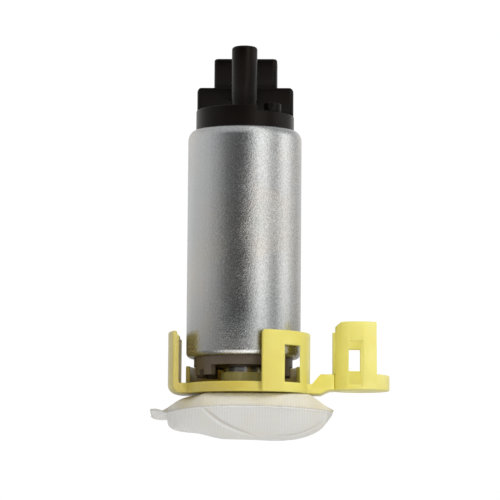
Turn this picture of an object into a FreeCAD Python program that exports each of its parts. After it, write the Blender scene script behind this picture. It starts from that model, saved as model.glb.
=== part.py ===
import FreeCAD, Part
import math
import os
import re
import Sketcher

from FreeCAD import Placement, Rotation, Vector

# In-tank fuel pump with its strainer and mounting bracket, in millimetres.
# The origin is the centre of the steel can, on the pump's axis. +Z points to the outlet,
# -Y to the side with the outlet nipple, +X to the side with the bracket's cup.
# Heights below are lengths from the can's ends unless a comment says otherwise.

SIZES = {
    # Clearances between pieces
    "fit_gap": 0.05,
    "running_gap": 0.1,
    "bearing_gap": 0.03,
    "swing_gap": 0.3,
    # Steel can
    "can_radius": 19.0,
    "can_length": 76.2,
    "can_wall": 1.6,
    "lip_width": 2.4,
    "lip_radius": "=can_radius - lip_width",
    "shoulder_height": 3.4,
    "lip_thickness": 1.8,
    "heel_height": 1.8,
    "heel_run": 1.8,
    # End cap moulding
    "lip_gap": 0.2,
    "disc_radius": "=lip_radius - lip_gap",
    "cap_wall": 1.7,
    "cap_skirt_drop": 23.0,
    "ceiling_rise": 1.6,
    "step_height": 5.1,
    "land_rise": 1.8,
    "land_end": 4.5,
    "wing_margin": 0.25,
    "wing_half_width": "=disc_radius - wing_margin",
    "wing_front": 1.0,
    "wing_back": 11.5,
    "wing_height": 15.0,
    "wing_corner": 1.4,
    "wing_wall": 1.5,
    "socket_margin": 5.8,
    "socket_half_width": "=disc_radius - socket_margin",
    "socket_front": 1.5,
    "socket_back": 12.0,
    "socket_height": 25.4,
    "socket_wall": 1.5,
    "socket_depth": 9.5,
    "socket_corner": 1.6,
    "socket_brim": 0.8,
    "nipple_radius": 4.25,
    "nipple_inset": 5.9,
    "nipple_offset": "=disc_radius - nipple_inset",
    "nipple_height": 27.05,
    "nipple_bore": 2.9,
    "nipple_brim": 1.0,
    "valve_seat_height": 7.9,
    "outlet_port": 1.8,
    "boss_radius": 2.9,
    "boss_inset": 7.05,
    "boss_x": "=disc_radius - boss_inset",
    "boss_step": 1.5,
    "boss_y": "=nipple_offset - boss_step",
    "boss_height": 8.2,
    "relief_bore": 2.0,
    "relief_port": 1.0,
    "relief_seat": 3.2,
    # Terminals and chokes
    "blade_width": 2.8,
    "blade_thickness": 0.8,
    "blade_shift": 0.1,
    "blade_x": "=socket_half_width / 2 - blade_shift",
    "blade_y": 6.75,
    "blade_recess": 3.0,
    "blade_tip": 0.5,
    "blade_foot": 3.0,
    "choke_inset": 4.55,
    "choke_x": "=wing_half_width - choke_inset",
    "choke_y": 5.6,
    "choke_rod_radius": 1.4,
    "choke_rod_length": 14.0,
    "choke_coil_radius": 2.3,
    "choke_coil_length": 10.0,
    "choke_drop": 1.6,
    # Brushes
    "brush_hub_room": 2.0,
    "brush_inner": "=bearing_radius + brush_hub_room",
    "brush_x": "=brush_inner + brush_width / 2",
    "brush_rim": 0.6,
    "brush_width": "=commutator_radius - brush_rim - brush_inner",
    "brush_depth": 6.0,
    "brush_length": 12.0,
    "brush_wall": 1.2,
    "brush_guide_lift": 4.0,
    "chamber_roof": 2.0,
    "brush_spring_margin": 0.5,
    "brush_spring_radius": "=brush_width / 2 - brush_spring_margin",
    "brush_spring_wire": 0.15,
    "brush_spring_turns": 7.0,
    "pigtail_radius": 0.5,
    # Bearings and shaft
    "bearing_radius": 3.8,
    "bearing_length": 5.0,
    "bearing_lift": 8.0,
    "hub_wall": 1.2,
    "shaft_radius": 2.0,
    "shaft_chamfer": 0.4,
    "shaft_overrun": 0.6,
    "shaft_foot": 2.5,
    "thrust_radius": 1.5,
    "thrust_length": 1.8,
    # Armature and commutator
    "air_gap": 0.8,
    "armature_radius": "=magnet_inner - air_gap",
    "motor_ends": 52.2,
    "armature_length": "=can_length - motor_ends",
    "armature_lift": 3.0,
    "slot_count": 8.0,
    "core_hub": 3.0,
    "slot_inner": "=shaft_radius + core_hub",
    "slot_rim": 1.1,
    "slot_outer": "=armature_radius - slot_rim",
    "slot_half_width": 1.4,
    "slot_mouth": 0.6,
    "winding_gap": 0.12,
    "winding_top": 2.5,
    "winding_bottom": 4.4,
    "winding_mid": 1.0,
    "commutator_step": 0.7,
    "commutator_radius": "=armature_radius - commutator_step",
    "commutator_height": 3.0,
    "commutator_lift": 3.0,
    "commutator_slit": 0.5,
    "commutator_slit_depth": 1.6,
    "commutator_hub": 3.6,
    # Magnets and their spring clips
    "magnet_relief": 0.7,
    "magnet_thickness": "=(can_radius - can_wall - brush_inner) / 2 - magnet_relief",
    "magnet_inner": "=can_radius - can_wall - magnet_thickness",
    "magnet_overhang": 6.0,
    "magnet_length": "=armature_length + magnet_overhang",
    "magnet_lift": 7.0,
    "magnet_sweep": 130.0,
    "clip_thickness": 0.5,
    "clip_lift": 1.3,
    "clip_inner": "=magnet_inner + clip_lift",
    "clip_inset": 1.0,
    "clip_leg_sweep": 1.8,
    # Pumping chamber
    "casing_height": 8.0,
    "casing_hub_height": 4.2,
    "impeller_rim": 4.1,
    "impeller_radius": "=can_radius - impeller_rim",
    "impeller_thickness": 3.8,
    "vane_count": 36.0,
    "vane_length": 2.7,
    "vane_inner": "=vane_outer - vane_length",
    "vane_rim": 0.8,
    "vane_outer": "=impeller_radius - vane_rim",
    "vane_gap": 1.3,
    "channel_depth": 1.2,
    "channel_start": 60.0,
    "channel_sweep": 300.0,
    "casing_port": 1.3,
    # Inlet cover
    "cover_flange": 4.5,
    "cover_drop": 2.1,
    "cover_rim": 0.7,
    "cover_rim_width": 2.2,
    "foot_drop": 6.0,
    "foot_middle": 55.0,
    "foot_sweep": 33.0,
    "foot_notch_sweep": 9.0,
    "foot_notch_height": 1.7,
    "spigot_radius": 5.2,
    "spigot_bore": 3.6,
    "spigot_drop": 7.9,
    "inlet_floor": 2.2,
    "inlet_slot_half": 1.3,
    "inlet_slot_height": 1.7,
    "ring_outer": 6.6,
    "ring_top": 3.1,
    "neck_top": 4.8,
    # Strainer
    "neck_radius": 7.6,
    "neck_bore": 4.4,
    "neck_flange": 9.6,
    "neck_flange_height": 1.0,
    "neck_flange_drop": 1.2,
    "rib_half_length": 16.0,
    "rib_half_span": 9.0,
    "rib_half_width": 0.8,
    "rib_height": 2.4,
    "sock_wall": 0.4,
    "sock_top": 12.3,
    "sock_seam": 16.8,
    "sock_droop": 4.6,
    "sock_end_drop": 1.0,
    "sock_bottom": 27.2,
    "sock_left": 30.6,
    "sock_right": 29.9,
    "sock_front": 20.6,
    "sock_back": 22.0,
    "sock_left_y": 4.0,
    "sock_right_y": -1.0,
    "sock_weld": 0.8,
    "sock_weld_band": 3.0,
    "sock_tip": 0.05,
    "sock_tab_half": 3.0,
    "sock_tab_length": 4.6,
    "sock_tab_twist": 2.0,
    # Bracket
    "plate_rim": 1.0,
    "plate_radius": "=can_radius + plate_rim",
    "plate_top": 8.6,
    "plate_thickness": 3.3,
    "post_gap": 4.0,
    "post_radius": "=can_radius + post_gap + post_wall",
    "post_wall": 2.0,
    "post_rise": 8.5,
    "post_half_sweep": 25.0,
    "post_heel": 3.0,
    "post_step": 0.6,
    "post_step_height": 1.3,
    "rear_wall_rim": 0.1,
    "rear_wall_radius": "=can_radius + rear_wall_rim",
    "rear_wall": 1.5,
    "rear_wall_drop": 2.5,
    "hook_gap": 1.8,
    "hook_radius": "=can_radius + hook_gap + hook_wall",
    "hook_wall": 1.5,
    "hook_rise": 8.3,
    "hook_start": 18.0,
    "hook_end": 88.0,
    "hook_window_far": 8.25,
    "hook_window_left": "=hook_radius - hook_window_far",
    "hook_window_near": 3.3,
    "hook_window_right": "=hook_radius - hook_window_near",
    "hook_window_rise": 3.5,
    "web_half_width": 7.0,
    "web_wall": 1.6,
    "web_valley_out": 0.6,
    "web_valley_x": "=hook_radius + web_valley_out",
    "web_valley_run": 2.75,
    "web_shoulder_x": "=web_valley_x + web_valley_run",
    "web_valley_drop": 8.7,
    "cup_reach": 12.95,
    "cup_x": "=web_shoulder_x + cup_reach",
    "cup_radius": 10.0,
    "cup_wall": 1.6,
    "cup_rim_drop": 5.4,
    "cup_floor_top": 8.8,
    "cup_floor": 1.7,
    "tower_rise": 11.9,
    "tower_start": 214.0,
    "tower_end": 305.0,
    "tower_chamfer_run": 2.2,
    "tower_chamfer_drop": 1.65,
    "tower_window_out": 3.6,
    "tower_window_left": "=cup_x - tower_window_out",
    "tower_window_in": 1.0,
    "tower_window_right": "=cup_x + tower_window_in",
    "tower_window_rise": 5.4,
    "back_tower_rise": 9.3,
    "back_tower_start": 65.0,
    "back_tower_end": 156.5,
    "back_window_out": 4.3,
    "back_window_left": "=cup_x - back_window_out",
    "back_window_in": 0.25,
    "back_window_right": "=cup_x + back_window_in",
    "back_window_drop": 3.2,
    "back_window_rise": 3.9,
    # Check valve and relief valve
    "valve_radius": 2.4,
    "valve_head": 1.4,
    "valve_stem": 0.8,
    "valve_stem_length": 13.0,
    "valve_spring_length": 8.6,
    "valve_spring_radius": 1.7,
    "valve_spring_wire": 0.17,
    "valve_spring_turns": 5.0,
    "retainer_height": 2.4,
    "retainer_wall": 0.5,
    "retainer_hub": 2.0,
    "retainer_arm": 0.9,
    "relief_ball_radius": 1.6,
    "relief_plug_height": 1.2,
    "relief_vent": 0.6,
    "relief_spring_radius": 1.15,
    "relief_spring_wire": 0.14,
    "relief_spring_turns": 3.0,
}

# Levels and radii that several pieces share, as formulas of the sizes above
CAN_TOP = "(can_length / 2)"
CAN_BOTTOM = "(-can_length / 2)"
CAN_BORE = "(can_radius - can_wall)"
SEATED = f"({CAN_BORE} - fit_gap)"
CEILING = f"({CAN_TOP} + ceiling_rise)"
STEP_TOP = f"({CAN_TOP} + step_height)"
LAND_TOP = f"({STEP_TOP} + land_rise)"
WING_TOP = f"({CAN_TOP} + wing_height)"
SOCKET_TOP = f"({CAN_TOP} + socket_height)"
SOCKET_FLOOR = f"({SOCKET_TOP} - socket_depth)"
NIPPLE_TOP = f"({CAN_TOP} + nipple_height)"
VALVE_SEAT = f"({CAN_TOP} + valve_seat_height)"
BOSS_TOP = f"({CAN_TOP} + boss_height)"
RELIEF_SEAT = f"({CAN_TOP} + relief_seat)"
CHAMBER_TOP = f"({STEP_TOP} - chamber_roof)"
COVER_SEAT = f"({CAN_BOTTOM} + can_wall)"
COVER_TOP = f"({COVER_SEAT} + cover_flange)"
COVER_BOTTOM = f"({CAN_BOTTOM} - cover_drop)"
CASING_TOP = f"({COVER_TOP} + casing_height)"
POCKET_TOP = f"({COVER_TOP} + impeller_thickness + 2 * running_gap)"
MAGNET_BOTTOM = f"({CASING_TOP} + magnet_lift)"
MAGNET_TOP = f"({MAGNET_BOTTOM} + magnet_length)"
CORE_BOTTOM = f"({MAGNET_BOTTOM} + armature_lift)"
CORE_TOP = f"({CORE_BOTTOM} + armature_length)"
BRUSH_FACE = f"({CORE_TOP} + commutator_lift + commutator_height)"
BRUSH_TOP = f"({BRUSH_FACE} + brush_length)"
UPPER_BUSH = f"({BRUSH_FACE} + bearing_lift)"
LOWER_BUSH = f"({CASING_TOP} + casing_hub_height - bearing_length - fit_gap)"
SHAFT_BOTTOM = f"({COVER_TOP} - shaft_foot)"
SHAFT_TOP = f"({UPPER_BUSH} + bearing_length + shaft_overrun)"
CHOKE_ROOF = f"({WING_TOP} - wing_wall)"
SPIGOT_BOTTOM = f"({CAN_BOTTOM} - spigot_drop)"
NECK_TOP = f"({CAN_BOTTOM} - neck_top)"
PLATE_TOP = f"({CAN_BOTTOM} - plate_top)"
PLATE_BOTTOM = f"({PLATE_TOP} - plate_thickness)"
SOCK_TOP = f"({CAN_BOTTOM} - sock_top)"
CUP_RIM = f"({CAN_BOTTOM} - cup_rim_drop)"
CUP_FLOOR_TOP = f"({CAN_BOTTOM} - cup_floor_top)"
CUP_BOTTOM = f"({CUP_FLOOR_TOP} - cup_floor)"

FULL_TURN = "360"
HALF_TURN = "180"
QUARTER_TURN = "90"
THREE_QUARTERS = "270"
# Length by which a cutting solid runs past the face that it opens
PAST = "1"
SIDES = (("left", "-1"), ("right", "1"))
# A spring's helix is built one turn at a time
TURNS_PER_SEGMENT = 1.0
# Two places closer than this count as one when edges are picked
TOLERANCE = 0.001
# Form of the mesh bag: powers of its outline, then shares of its height, along it from its left end
# at -1 to its right tip at 1, and across it from its front edge at 0 to its rear edge at 1
PLAN_ROUNDNESS = 2.6
PLAN_FULLNESS = 0.6
CORNER_SQUARENESS = 15.0
TAB_SHARPNESS = 8
CROWN_RUN = (
    (-1, 0.18), (-0.91, 0.45), (-0.81, 0.73), (-0.73, 1.0),
    (0.72, 1.0), (0.79, 0.8), (0.86, 0.53), (0.93, 0.25), (1, 0.0),
)
BELLY_RUN = (
    (-1, 0.0), (-0.96, 0.52), (-0.88, 0.66), (-0.78, 0.72), (-0.6, 0.77), (-0.45, 0.86), (-0.3, 0.935), (-0.1, 0.96),
    (0.3, 0.98), (0.5, 0.95), (0.65, 0.87), (0.76, 0.76), (0.85, 0.62), (0.93, 0.45), (1, 0.0),
)
CROWN_SHAPE = ((0, 0.0), (0.2, 0.86), (0.5, 0.98), (0.8, 0.86), (1, 0.0))
BELLY_SHAPE = ((0, 0.0), (0.2, 0.78), (0.5, 1.0), (0.8, 0.74), (1, 0.0))
SOCK_STEPS = 16
SOCK_FACETS = 12

DOC = FreeCAD.newDocument("fuel_pump")
SHEET = DOC.addObject("Spreadsheet::Sheet", "Sizes")
NODES = {}
WORD = re.compile(r"[a-z][a-z0-9_]*")


def fill_sheet():
    """Write every size, a number or a formula of other sizes, into the sheet under its own alias."""
    for row, alias in enumerate(SIZES, start=1):
        SHEET.set(f"A{row}", alias)
        SHEET.setAlias(f"B{row}", alias)
    for row, value in enumerate(SIZES.values(), start=1):
        SHEET.set(f"B{row}", str(value))
    DOC.recompute()


def size(alias):
    """Read one size back from the sheet as a number."""
    return float(SHEET.get(alias))


def formula(text):
    """Point each size named in a formula at its cell in the sheet."""
    return WORD.sub(lambda found: "Sizes." + found.group() if found.group() in SIZES else found.group(), text)


def bind(item, prop, text):
    """Tie a property to a formula of the sizes."""
    item.setExpression(prop, formula(text))


def place(item, x="0", y="0", z="0", turn="0"):
    """Tie an object's place and its turn about the vertical to formulas."""
    item.Placement = Placement(Vector(), Rotation(Vector(0, 0, 1), 0))
    bind(item, "Placement.Base.x", x)
    bind(item, "Placement.Base.y", y)
    bind(item, "Placement.Base.z", z)
    bind(item, "Placement.Rotation.Angle", turn)


def keep(label, item):
    """Name a finished sub-part, which is also the name of its file."""
    item.Label = label
    NODES[label] = item
    return item


def cylinder(name, radius, bottom, top, x="0", y="0", start="0", sweep=FULL_TURN):
    """Upright cylinder, or a wedge of one, between two levels."""
    solid = DOC.addObject("Part::Cylinder", name)
    bind(solid, "Radius", radius)
    bind(solid, "Height", f"({top}) - ({bottom})")
    bind(solid, "Angle", sweep)
    place(solid, x, y, bottom, start)
    return solid


def cone(name, low_radius, high_radius, bottom, top, x="0", y="0"):
    """Upright cone between two levels."""
    solid = DOC.addObject("Part::Cone", name)
    bind(solid, "Radius1", low_radius)
    bind(solid, "Radius2", high_radius)
    bind(solid, "Height", f"({top}) - ({bottom})")
    place(solid, x, y, bottom)
    return solid


def block(name, x, y, z):
    """Box between two formulas along each axis."""
    solid = DOC.addObject("Part::Box", name)
    bind(solid, "Length", f"({x[1]}) - ({x[0]})")
    bind(solid, "Width", f"({y[1]}) - ({y[0]})")
    bind(solid, "Height", f"({z[1]}) - ({z[0]})")
    place(solid, x[0], y[0], z[0])
    return solid


def fuse(name, *solids):
    """Join solids into one."""
    joined = DOC.addObject("Part::MultiFuse", name)
    joined.Shapes = list(solids)
    joined.Refine = True
    return joined


def cut(name, base, *tools):
    """Take one or more solids out of another."""
    tool = tools[0] if len(tools) == 1 else fuse(name + "_tools", *tools)
    rest = DOC.addObject("Part::Cut", name)
    rest.Base = base
    rest.Tool = tool
    rest.Refine = True
    return rest


def common(name, *solids):
    """Keep what several solids share."""
    shared = DOC.addObject("Part::MultiCommon", name)
    shared.Shapes = list(solids)
    shared.Refine = True
    return shared


def tube(name, outer, inner, bottom, top, x="0", y="0", start="0", sweep=FULL_TURN):
    """Upright tube, or an arc of its wall, between two levels."""
    wall = cylinder(name + "_outer", outer, bottom, top, x, y, start, sweep)
    hole = cylinder(name + "_inner", inner, f"{bottom} - {PAST}", f"{top} + {PAST}", x, y)
    return cut(name, wall, hole)


def soften(name, base, alias, chosen):
    """Round the chosen edges of a solid by one of the sizes."""
    DOC.recompute()
    radius = size(alias)
    rounded = DOC.addObject("Part::Fillet", name)
    rounded.Base = base
    edges = enumerate(base.Shape.Edges, start=1)
    rounded.Edges = [(number, radius, radius) for number, edge in edges if chosen(edge)]
    return rounded


def is_upright(edge):
    """Tell whether an edge is a straight vertical one."""
    ends = [vertex.Point for vertex in edge.Vertexes]
    if len(ends) < 2 or not isinstance(edge.Curve, Part.Line):
        return False
    return math.hypot(ends[0].x - ends[1].x, ends[0].y - ends[1].y) < TOLERANCE


def is_level_at(edge, height):
    """Tell whether an edge lies flat at a height."""
    box = edge.BoundBox
    return abs(box.ZMin - height) < TOLERANCE and abs(box.ZMax - height) < TOLERANCE


def new_sketch(body, name, role, lift="0"):
    """Open a sketch on one of the body's own origin planes, lifted off it along its normal."""
    sketch = body.newObject("Sketcher::SketchObject", name)
    plane = [item for item in body.Origin.OriginFeatures if item.Role == role][0]
    sketch.AttachmentSupport = [(plane, "")]
    sketch.MapMode = "FlatFace"
    bind(sketch, "AttachmentOffset.Base.z", lift)
    return sketch


def draw_polygon(sketch, corners):
    """Draw a closed outline whose corners are tied to formulas, and return its first edge."""
    count = len(corners)
    first = sketch.GeometryCount
    around = [2 * math.pi * index / count for index in range(count)]
    spots = [Vector(math.cos(angle), math.sin(angle), 0) for angle in around]
    for index in range(count):
        sketch.addGeometry(Part.LineSegment(spots[index], spots[(index + 1) % count]), False)
    for index in range(count):
        after = first + (index + 1) % count
        sketch.addConstraint(Sketcher.Constraint("Coincident", first + index, 2, after, 1))
    for index, corner in enumerate(corners):
        for kind, text in zip(("DistanceX", "DistanceY"), corner):
            value = spots[index].x if kind == "DistanceX" else spots[index].y
            number = sketch.addConstraint(Sketcher.Constraint(kind, -1, 1, first + index, 1, value))
            sketch.setExpression(f"Constraints[{number}]", formula(text))
    return first


def draw_circle(sketch, radius, x="0", y="0"):
    """Draw a circle tied to formulas."""
    circle = sketch.addGeometry(Part.Circle(Vector(1, 1, 0), Vector(0, 0, 1), 1), False)
    for kind, text in (("DistanceX", x), ("DistanceY", y)):
        number = sketch.addConstraint(Sketcher.Constraint(kind, -1, 1, circle, 3, 1))
        sketch.setExpression(f"Constraints[{number}]", formula(text))
    number = sketch.addConstraint(Sketcher.Constraint("Radius", circle, 1))
    sketch.setExpression(f"Constraints[{number}]", formula(radius))


def bend_edge(sketch, edge, level_end):
    """Replace a straight edge by an arc that stands upright at one of its ends."""
    DOC.recompute()
    line = sketch.Geometry[edge]
    near, far = (line.StartPoint, line.EndPoint) if level_end == 1 else (line.EndPoint, line.StartPoint)
    rise = far.y - near.y
    centre_x = (near.x ** 2 - far.x ** 2 - rise ** 2) / (2 * (near.x - far.x))
    centre = Vector(centre_x, near.y, 0)
    angles = [math.atan2(spot.y - centre.y, spot.x - centre.x) for spot in (line.StartPoint, line.EndPoint)]
    forward = (angles[1] - angles[0]) % (2 * math.pi) < math.pi
    first, last = angles if forward else reversed(angles)
    circle = Part.Circle(centre, Vector(0, 0, 1), centre.distanceToPoint(near))
    arc = sketch.addGeometry(Part.ArcOfCircle(circle, first, last), False)
    sketch.toggleConstruction(edge)
    ends = (1, 2) if forward else (2, 1)
    sketch.addConstraint(Sketcher.Constraint("Coincident", arc, ends[0], edge, 1))
    sketch.addConstraint(Sketcher.Constraint("Coincident", arc, ends[1], edge, 2))
    sketch.addConstraint(Sketcher.Constraint("Horizontal", arc, 3, edge, level_end))


def new_body(name):
    """Start a body."""
    return DOC.addObject("PartDesign::Body", name)


def revolve(body, name, corners, sweep=FULL_TURN, bends=()):
    """Turn an outline in the XZ plane about the vertical axis."""
    sketch = new_sketch(body, name + "_sketch", "XZ_Plane")
    draw_polygon(sketch, corners)
    for edge, level_end in bends:
        bend_edge(sketch, edge, level_end)
    turned = body.newObject("PartDesign::Revolution", name)
    turned.Profile = sketch
    turned.ReferenceAxis = (sketch, ["V_Axis"])
    turned.Midplane = sweep != FULL_TURN
    bind(turned, "Angle", sweep)
    sketch.Visibility = False
    return turned


def pad(body, name, bottom, top, corners=(), circles=()):
    """Raise an outline in the XY plane from one level to another."""
    sketch = new_sketch(body, name + "_sketch", "XY_Plane", bottom)
    if corners:
        draw_polygon(sketch, corners)
    for circle in circles:
        draw_circle(sketch, *circle)
    raised = body.newObject("PartDesign::Pad", name)
    raised.Profile = sketch
    bind(raised, "Length", f"({top}) - ({bottom})")
    return raised


def pocket(body, name, top, depth, corners=(), circles=()):
    """Sink an outline in the XY plane from a level downwards."""
    sketch = new_sketch(body, name + "_sketch", "XY_Plane", top)
    if corners:
        draw_polygon(sketch, corners)
    for circle in circles:
        draw_circle(sketch, *circle)
    sunk = body.newObject("PartDesign::Pocket", name)
    sunk.Profile = sketch
    bind(sunk, "Length", depth)
    return sunk


def repeat_around(body, name, feature, count_alias):
    """Repeat a feature evenly round the vertical axis."""
    pattern = body.newObject("PartDesign::PolarPattern", name)
    pattern.Originals = [feature]
    axis = [item for item in body.Origin.OriginFeatures if item.Role == "Z_Axis"][0]
    pattern.Axis = (axis, [""])
    pattern.Angle = float(FULL_TURN)
    bind(pattern, "Occurrences", count_alias)
    body.Tip = pattern
    return pattern


def prism(name, corners, front, back):
    """Solid with an outline in the XZ plane, between two places along Y."""
    body = new_body(name)
    sketch = new_sketch(body, name + "_sketch", "XZ_Plane", f"-({back})")
    draw_polygon(sketch, corners)
    raised = body.newObject("PartDesign::Pad", name + "_pad")
    raised.Profile = sketch
    bind(raised, "Length", f"({back}) - ({front})")
    return body


def spring(name, radius, wire, turns, bottom, top, x="0", y="0"):
    """Round-wire compression spring between two levels."""
    path = DOC.addObject("Part::Helix", name + "_path")
    bind(path, "Radius", radius)
    bind(path, "Height", f"({top}) - ({bottom}) - 2 * {wire}")
    bind(path, "Pitch", f"(({top}) - ({bottom}) - 2 * {wire}) / {turns}")
    path.SegmentLength = TURNS_PER_SEGMENT
    section = DOC.addObject("Part::Circle", name + "_section")
    bind(section, "Radius", wire)
    section.Placement = Placement(Vector(), Rotation(Vector(1, 0, 0), float(QUARTER_TURN)))
    bind(section, "Placement.Base.x", radius)
    DOC.recompute()
    coil = DOC.addObject("Part::Sweep", name)
    coil.Sections = [section]
    coil.Spine = (path, [f"Edge{number}" for number in range(1, len(path.Shape.Edges) + 1)])
    coil.Solid = True
    coil.Frenet = True
    place(coil, x, y, f"{bottom} + {wire}")
    return coil


def build_can():
    """Drawn steel can, both ends rolled in over the end pieces."""
    shoulder = f"({CAN_TOP} - shoulder_height)"
    heel = f"({CAN_BOTTOM} + heel_height)"
    inner_lip_top = f"({CAN_TOP} - lip_thickness)"
    body = new_body("can_body")
    corners = [
        ("can_radius", heel),
        ("can_radius", shoulder),
        ("lip_radius", CAN_TOP),
        ("lip_radius", inner_lip_top),
        (CAN_BORE, shoulder),
        (CAN_BORE, COVER_SEAT),
        ("lip_radius", COVER_SEAT),
        ("lip_radius", CAN_BOTTOM),
        ("can_radius - heel_run", CAN_BOTTOM),
    ]
    revolve(body, "can_turned", corners, bends=[(1, 1), (3, 2), (8, 2)])
    keep("can", body)


def cap_shell():
    """Skirt, ceiling and disc of the end cap."""
    body = new_body("cap_shell")
    inner = "(disc_radius - cap_wall)"
    corners = [
        ("0", CEILING),
        (inner, CEILING),
        (inner, f"{CAN_TOP} - cap_skirt_drop"),
        (SEATED, f"{CAN_TOP} - cap_skirt_drop"),
        (SEATED, f"{CAN_TOP} - shoulder_height - fit_gap"),
        ("disc_radius", f"{CAN_TOP} - lip_thickness - running_gap"),
        ("disc_radius", STEP_TOP),
        ("0", STEP_TOP),
    ]
    revolve(body, "cap_turned", corners)
    return body


def cap_land():
    """Raised land in front of the wings, from the left side to just right of the nipple."""
    whole = cylinder("land_disc", "disc_radius", STEP_TOP, LAND_TOP)
    side = block(
        "land_side",
        ("-disc_radius", "land_end"),
        ("-disc_radius", "-wing_front + fit_gap"),
        (STEP_TOP, LAND_TOP),
    )
    return common("land", whole, side)


def cap_wings():
    """Low block across the cap that houses the chokes."""
    whole = cylinder("wing_disc", "disc_radius", STEP_TOP, WING_TOP)
    slab = block(
        "wing_slab",
        ("-wing_half_width", "wing_half_width"),
        ("-wing_front", "wing_back"),
        (STEP_TOP, WING_TOP),
    )
    wings = common("wings", whole, slab)
    half = size("wing_half_width")
    front = -size("wing_front")

    def at_end(edge):
        middle = edge.BoundBox.Center
        along_top = abs(edge.BoundBox.ZMax - size("can_length") / 2 - size("wing_height")) < TOLERANCE
        at_side = abs(abs(middle.x) - half) < TOLERANCE
        return at_side and (along_top or (is_upright(edge) and abs(middle.y - front) < TOLERANCE))

    return soften("wings_round", wings, "wing_corner", at_end)


def cap_socket():
    """Tall box that takes the electrical plug."""
    box = block(
        "socket_box",
        ("-socket_half_width", "socket_half_width"),
        ("socket_front", "socket_back"),
        (STEP_TOP, SOCKET_TOP),
    )
    sides = soften("socket_sides", box, "socket_corner", is_upright)
    top = size("can_length") / 2 + size("socket_height")
    return soften("socket_round", sides, "socket_brim", lambda edge: is_level_at(edge, top))


def cap_nipple():
    """Outlet nipple with a rounded end."""
    pipe = cylinder("nipple_pipe", "nipple_radius", STEP_TOP, NIPPLE_TOP, y="-nipple_offset")
    top = size("can_length") / 2 + size("nipple_height")
    return soften("nipple_round", pipe, "nipple_brim", lambda edge: is_level_at(edge, top))


def cap_brush_guide(side, sign):
    """Box-shaped guide that one brush slides in."""
    middle = f"({sign} * brush_x)"
    half = "(brush_width / 2 + fit_gap + brush_wall)"
    deep = "(brush_depth / 2 + fit_gap + brush_wall)"
    return block(
        f"guide_{side}",
        (f"{middle} - {half}", f"{middle} + {half}"),
        (f"-{deep}", deep),
        (f"{BRUSH_FACE} + brush_guide_lift", f"{CEILING} + {PAST}"),
    )


def cap_brush_chamber(side, sign):
    """Space inside a brush guide, closed by a roof."""
    middle = f"({sign} * brush_x)"
    half = "(brush_width / 2 + fit_gap)"
    deep = "(brush_depth / 2 + fit_gap)"
    return block(
        f"chamber_{side}",
        (f"{middle} - {half}", f"{middle} + {half}"),
        (f"-{deep}", deep),
        (f"{BRUSH_FACE} + brush_guide_lift - {PAST}", CHAMBER_TOP),
    )


def cap_hollows():
    """Everything that is open inside the end cap."""
    reach = "(socket_half_width - socket_wall)"
    hollows = [
        block(
            "socket_hollow",
            (f"-{reach}", reach),
            ("socket_front + socket_wall", "socket_back - socket_wall"),
            (SOCKET_FLOOR, f"{SOCKET_TOP} + {PAST}"),
        ),
        block(
            "wing_hollow",
            ("-choke_x + choke_coil_radius", "choke_x - choke_coil_radius"),
            ("brush_depth / 2 + fit_gap + brush_wall", "wing_back - wing_wall"),
            (f"{CEILING} - {PAST}", CHOKE_ROOF),
        ),
        cylinder("bush_seat", "bearing_radius + fit_gap", f"{UPPER_BUSH} - {PAST}", f"{UPPER_BUSH} + bearing_length"),
        cylinder("shaft_room", "shaft_radius + swing_gap", UPPER_BUSH, f"{SHAFT_TOP} + 2 * shaft_overrun"),
        cylinder("outlet_hole", "outlet_port", f"{CEILING} - {PAST}", f"{VALVE_SEAT} + {PAST}", y="-nipple_offset"),
        cylinder("nipple_hole", "nipple_bore", VALVE_SEAT, f"{NIPPLE_TOP} + {PAST}", y="-nipple_offset"),
        cylinder("relief_hole", "relief_port", f"{CEILING} - {PAST}", f"{BOSS_TOP}", "boss_x", "-boss_y"),
        cone(
            "relief_cone",
            "relief_port",
            "relief_bore",
            RELIEF_SEAT,
            f"{RELIEF_SEAT} + relief_bore - relief_port",
            "boss_x",
            "-boss_y",
        ),
        cylinder(
            "relief_room",
            "relief_bore",
            f"{RELIEF_SEAT} + relief_bore - relief_port",
            f"{BOSS_TOP} + {PAST}",
            "boss_x",
            "-boss_y",
        ),
    ]
    for side, sign in SIDES:
        hollows.append(cap_brush_chamber(side, sign))
        hollows.append(
            cylinder(
                f"choke_room_{side}",
                "choke_coil_radius + fit_gap",
                f"{CHOKE_ROOF} - choke_rod_length - {PAST}",
                CHOKE_ROOF,
                f"{sign} * choke_x",
                "choke_y",
            )
        )
        hollows.append(
            block(
                f"blade_slot_{side}",
                (f"{sign} * blade_x - blade_width / 2", f"{sign} * blade_x + blade_width / 2"),
                ("blade_y - blade_thickness / 2", "blade_y + blade_thickness / 2"),
                (f"{CHOKE_ROOF} - {PAST}", f"{SOCKET_FLOOR} + {PAST}"),
            )
        )
    return hollows


def build_end_cap():
    """End cap moulding: disc, wings, socket box, outlet nipple, relief boss and brush guides."""
    hub = cylinder("bush_hub", "bearing_radius + fit_gap + hub_wall", UPPER_BUSH, f"{CEILING} + {PAST}")
    guides = [cap_brush_guide(side, sign) for side, sign in SIDES]
    boss = cylinder("relief_boss", "boss_radius", STEP_TOP, BOSS_TOP, "boss_x", "-boss_y")
    whole = fuse(
        "cap_whole", cap_shell(), cap_land(), cap_wings(), cap_socket(), cap_nipple(), boss, hub, *guides
    )
    keep("end_cap", cut("end_cap_cut", whole, *cap_hollows()))


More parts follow.
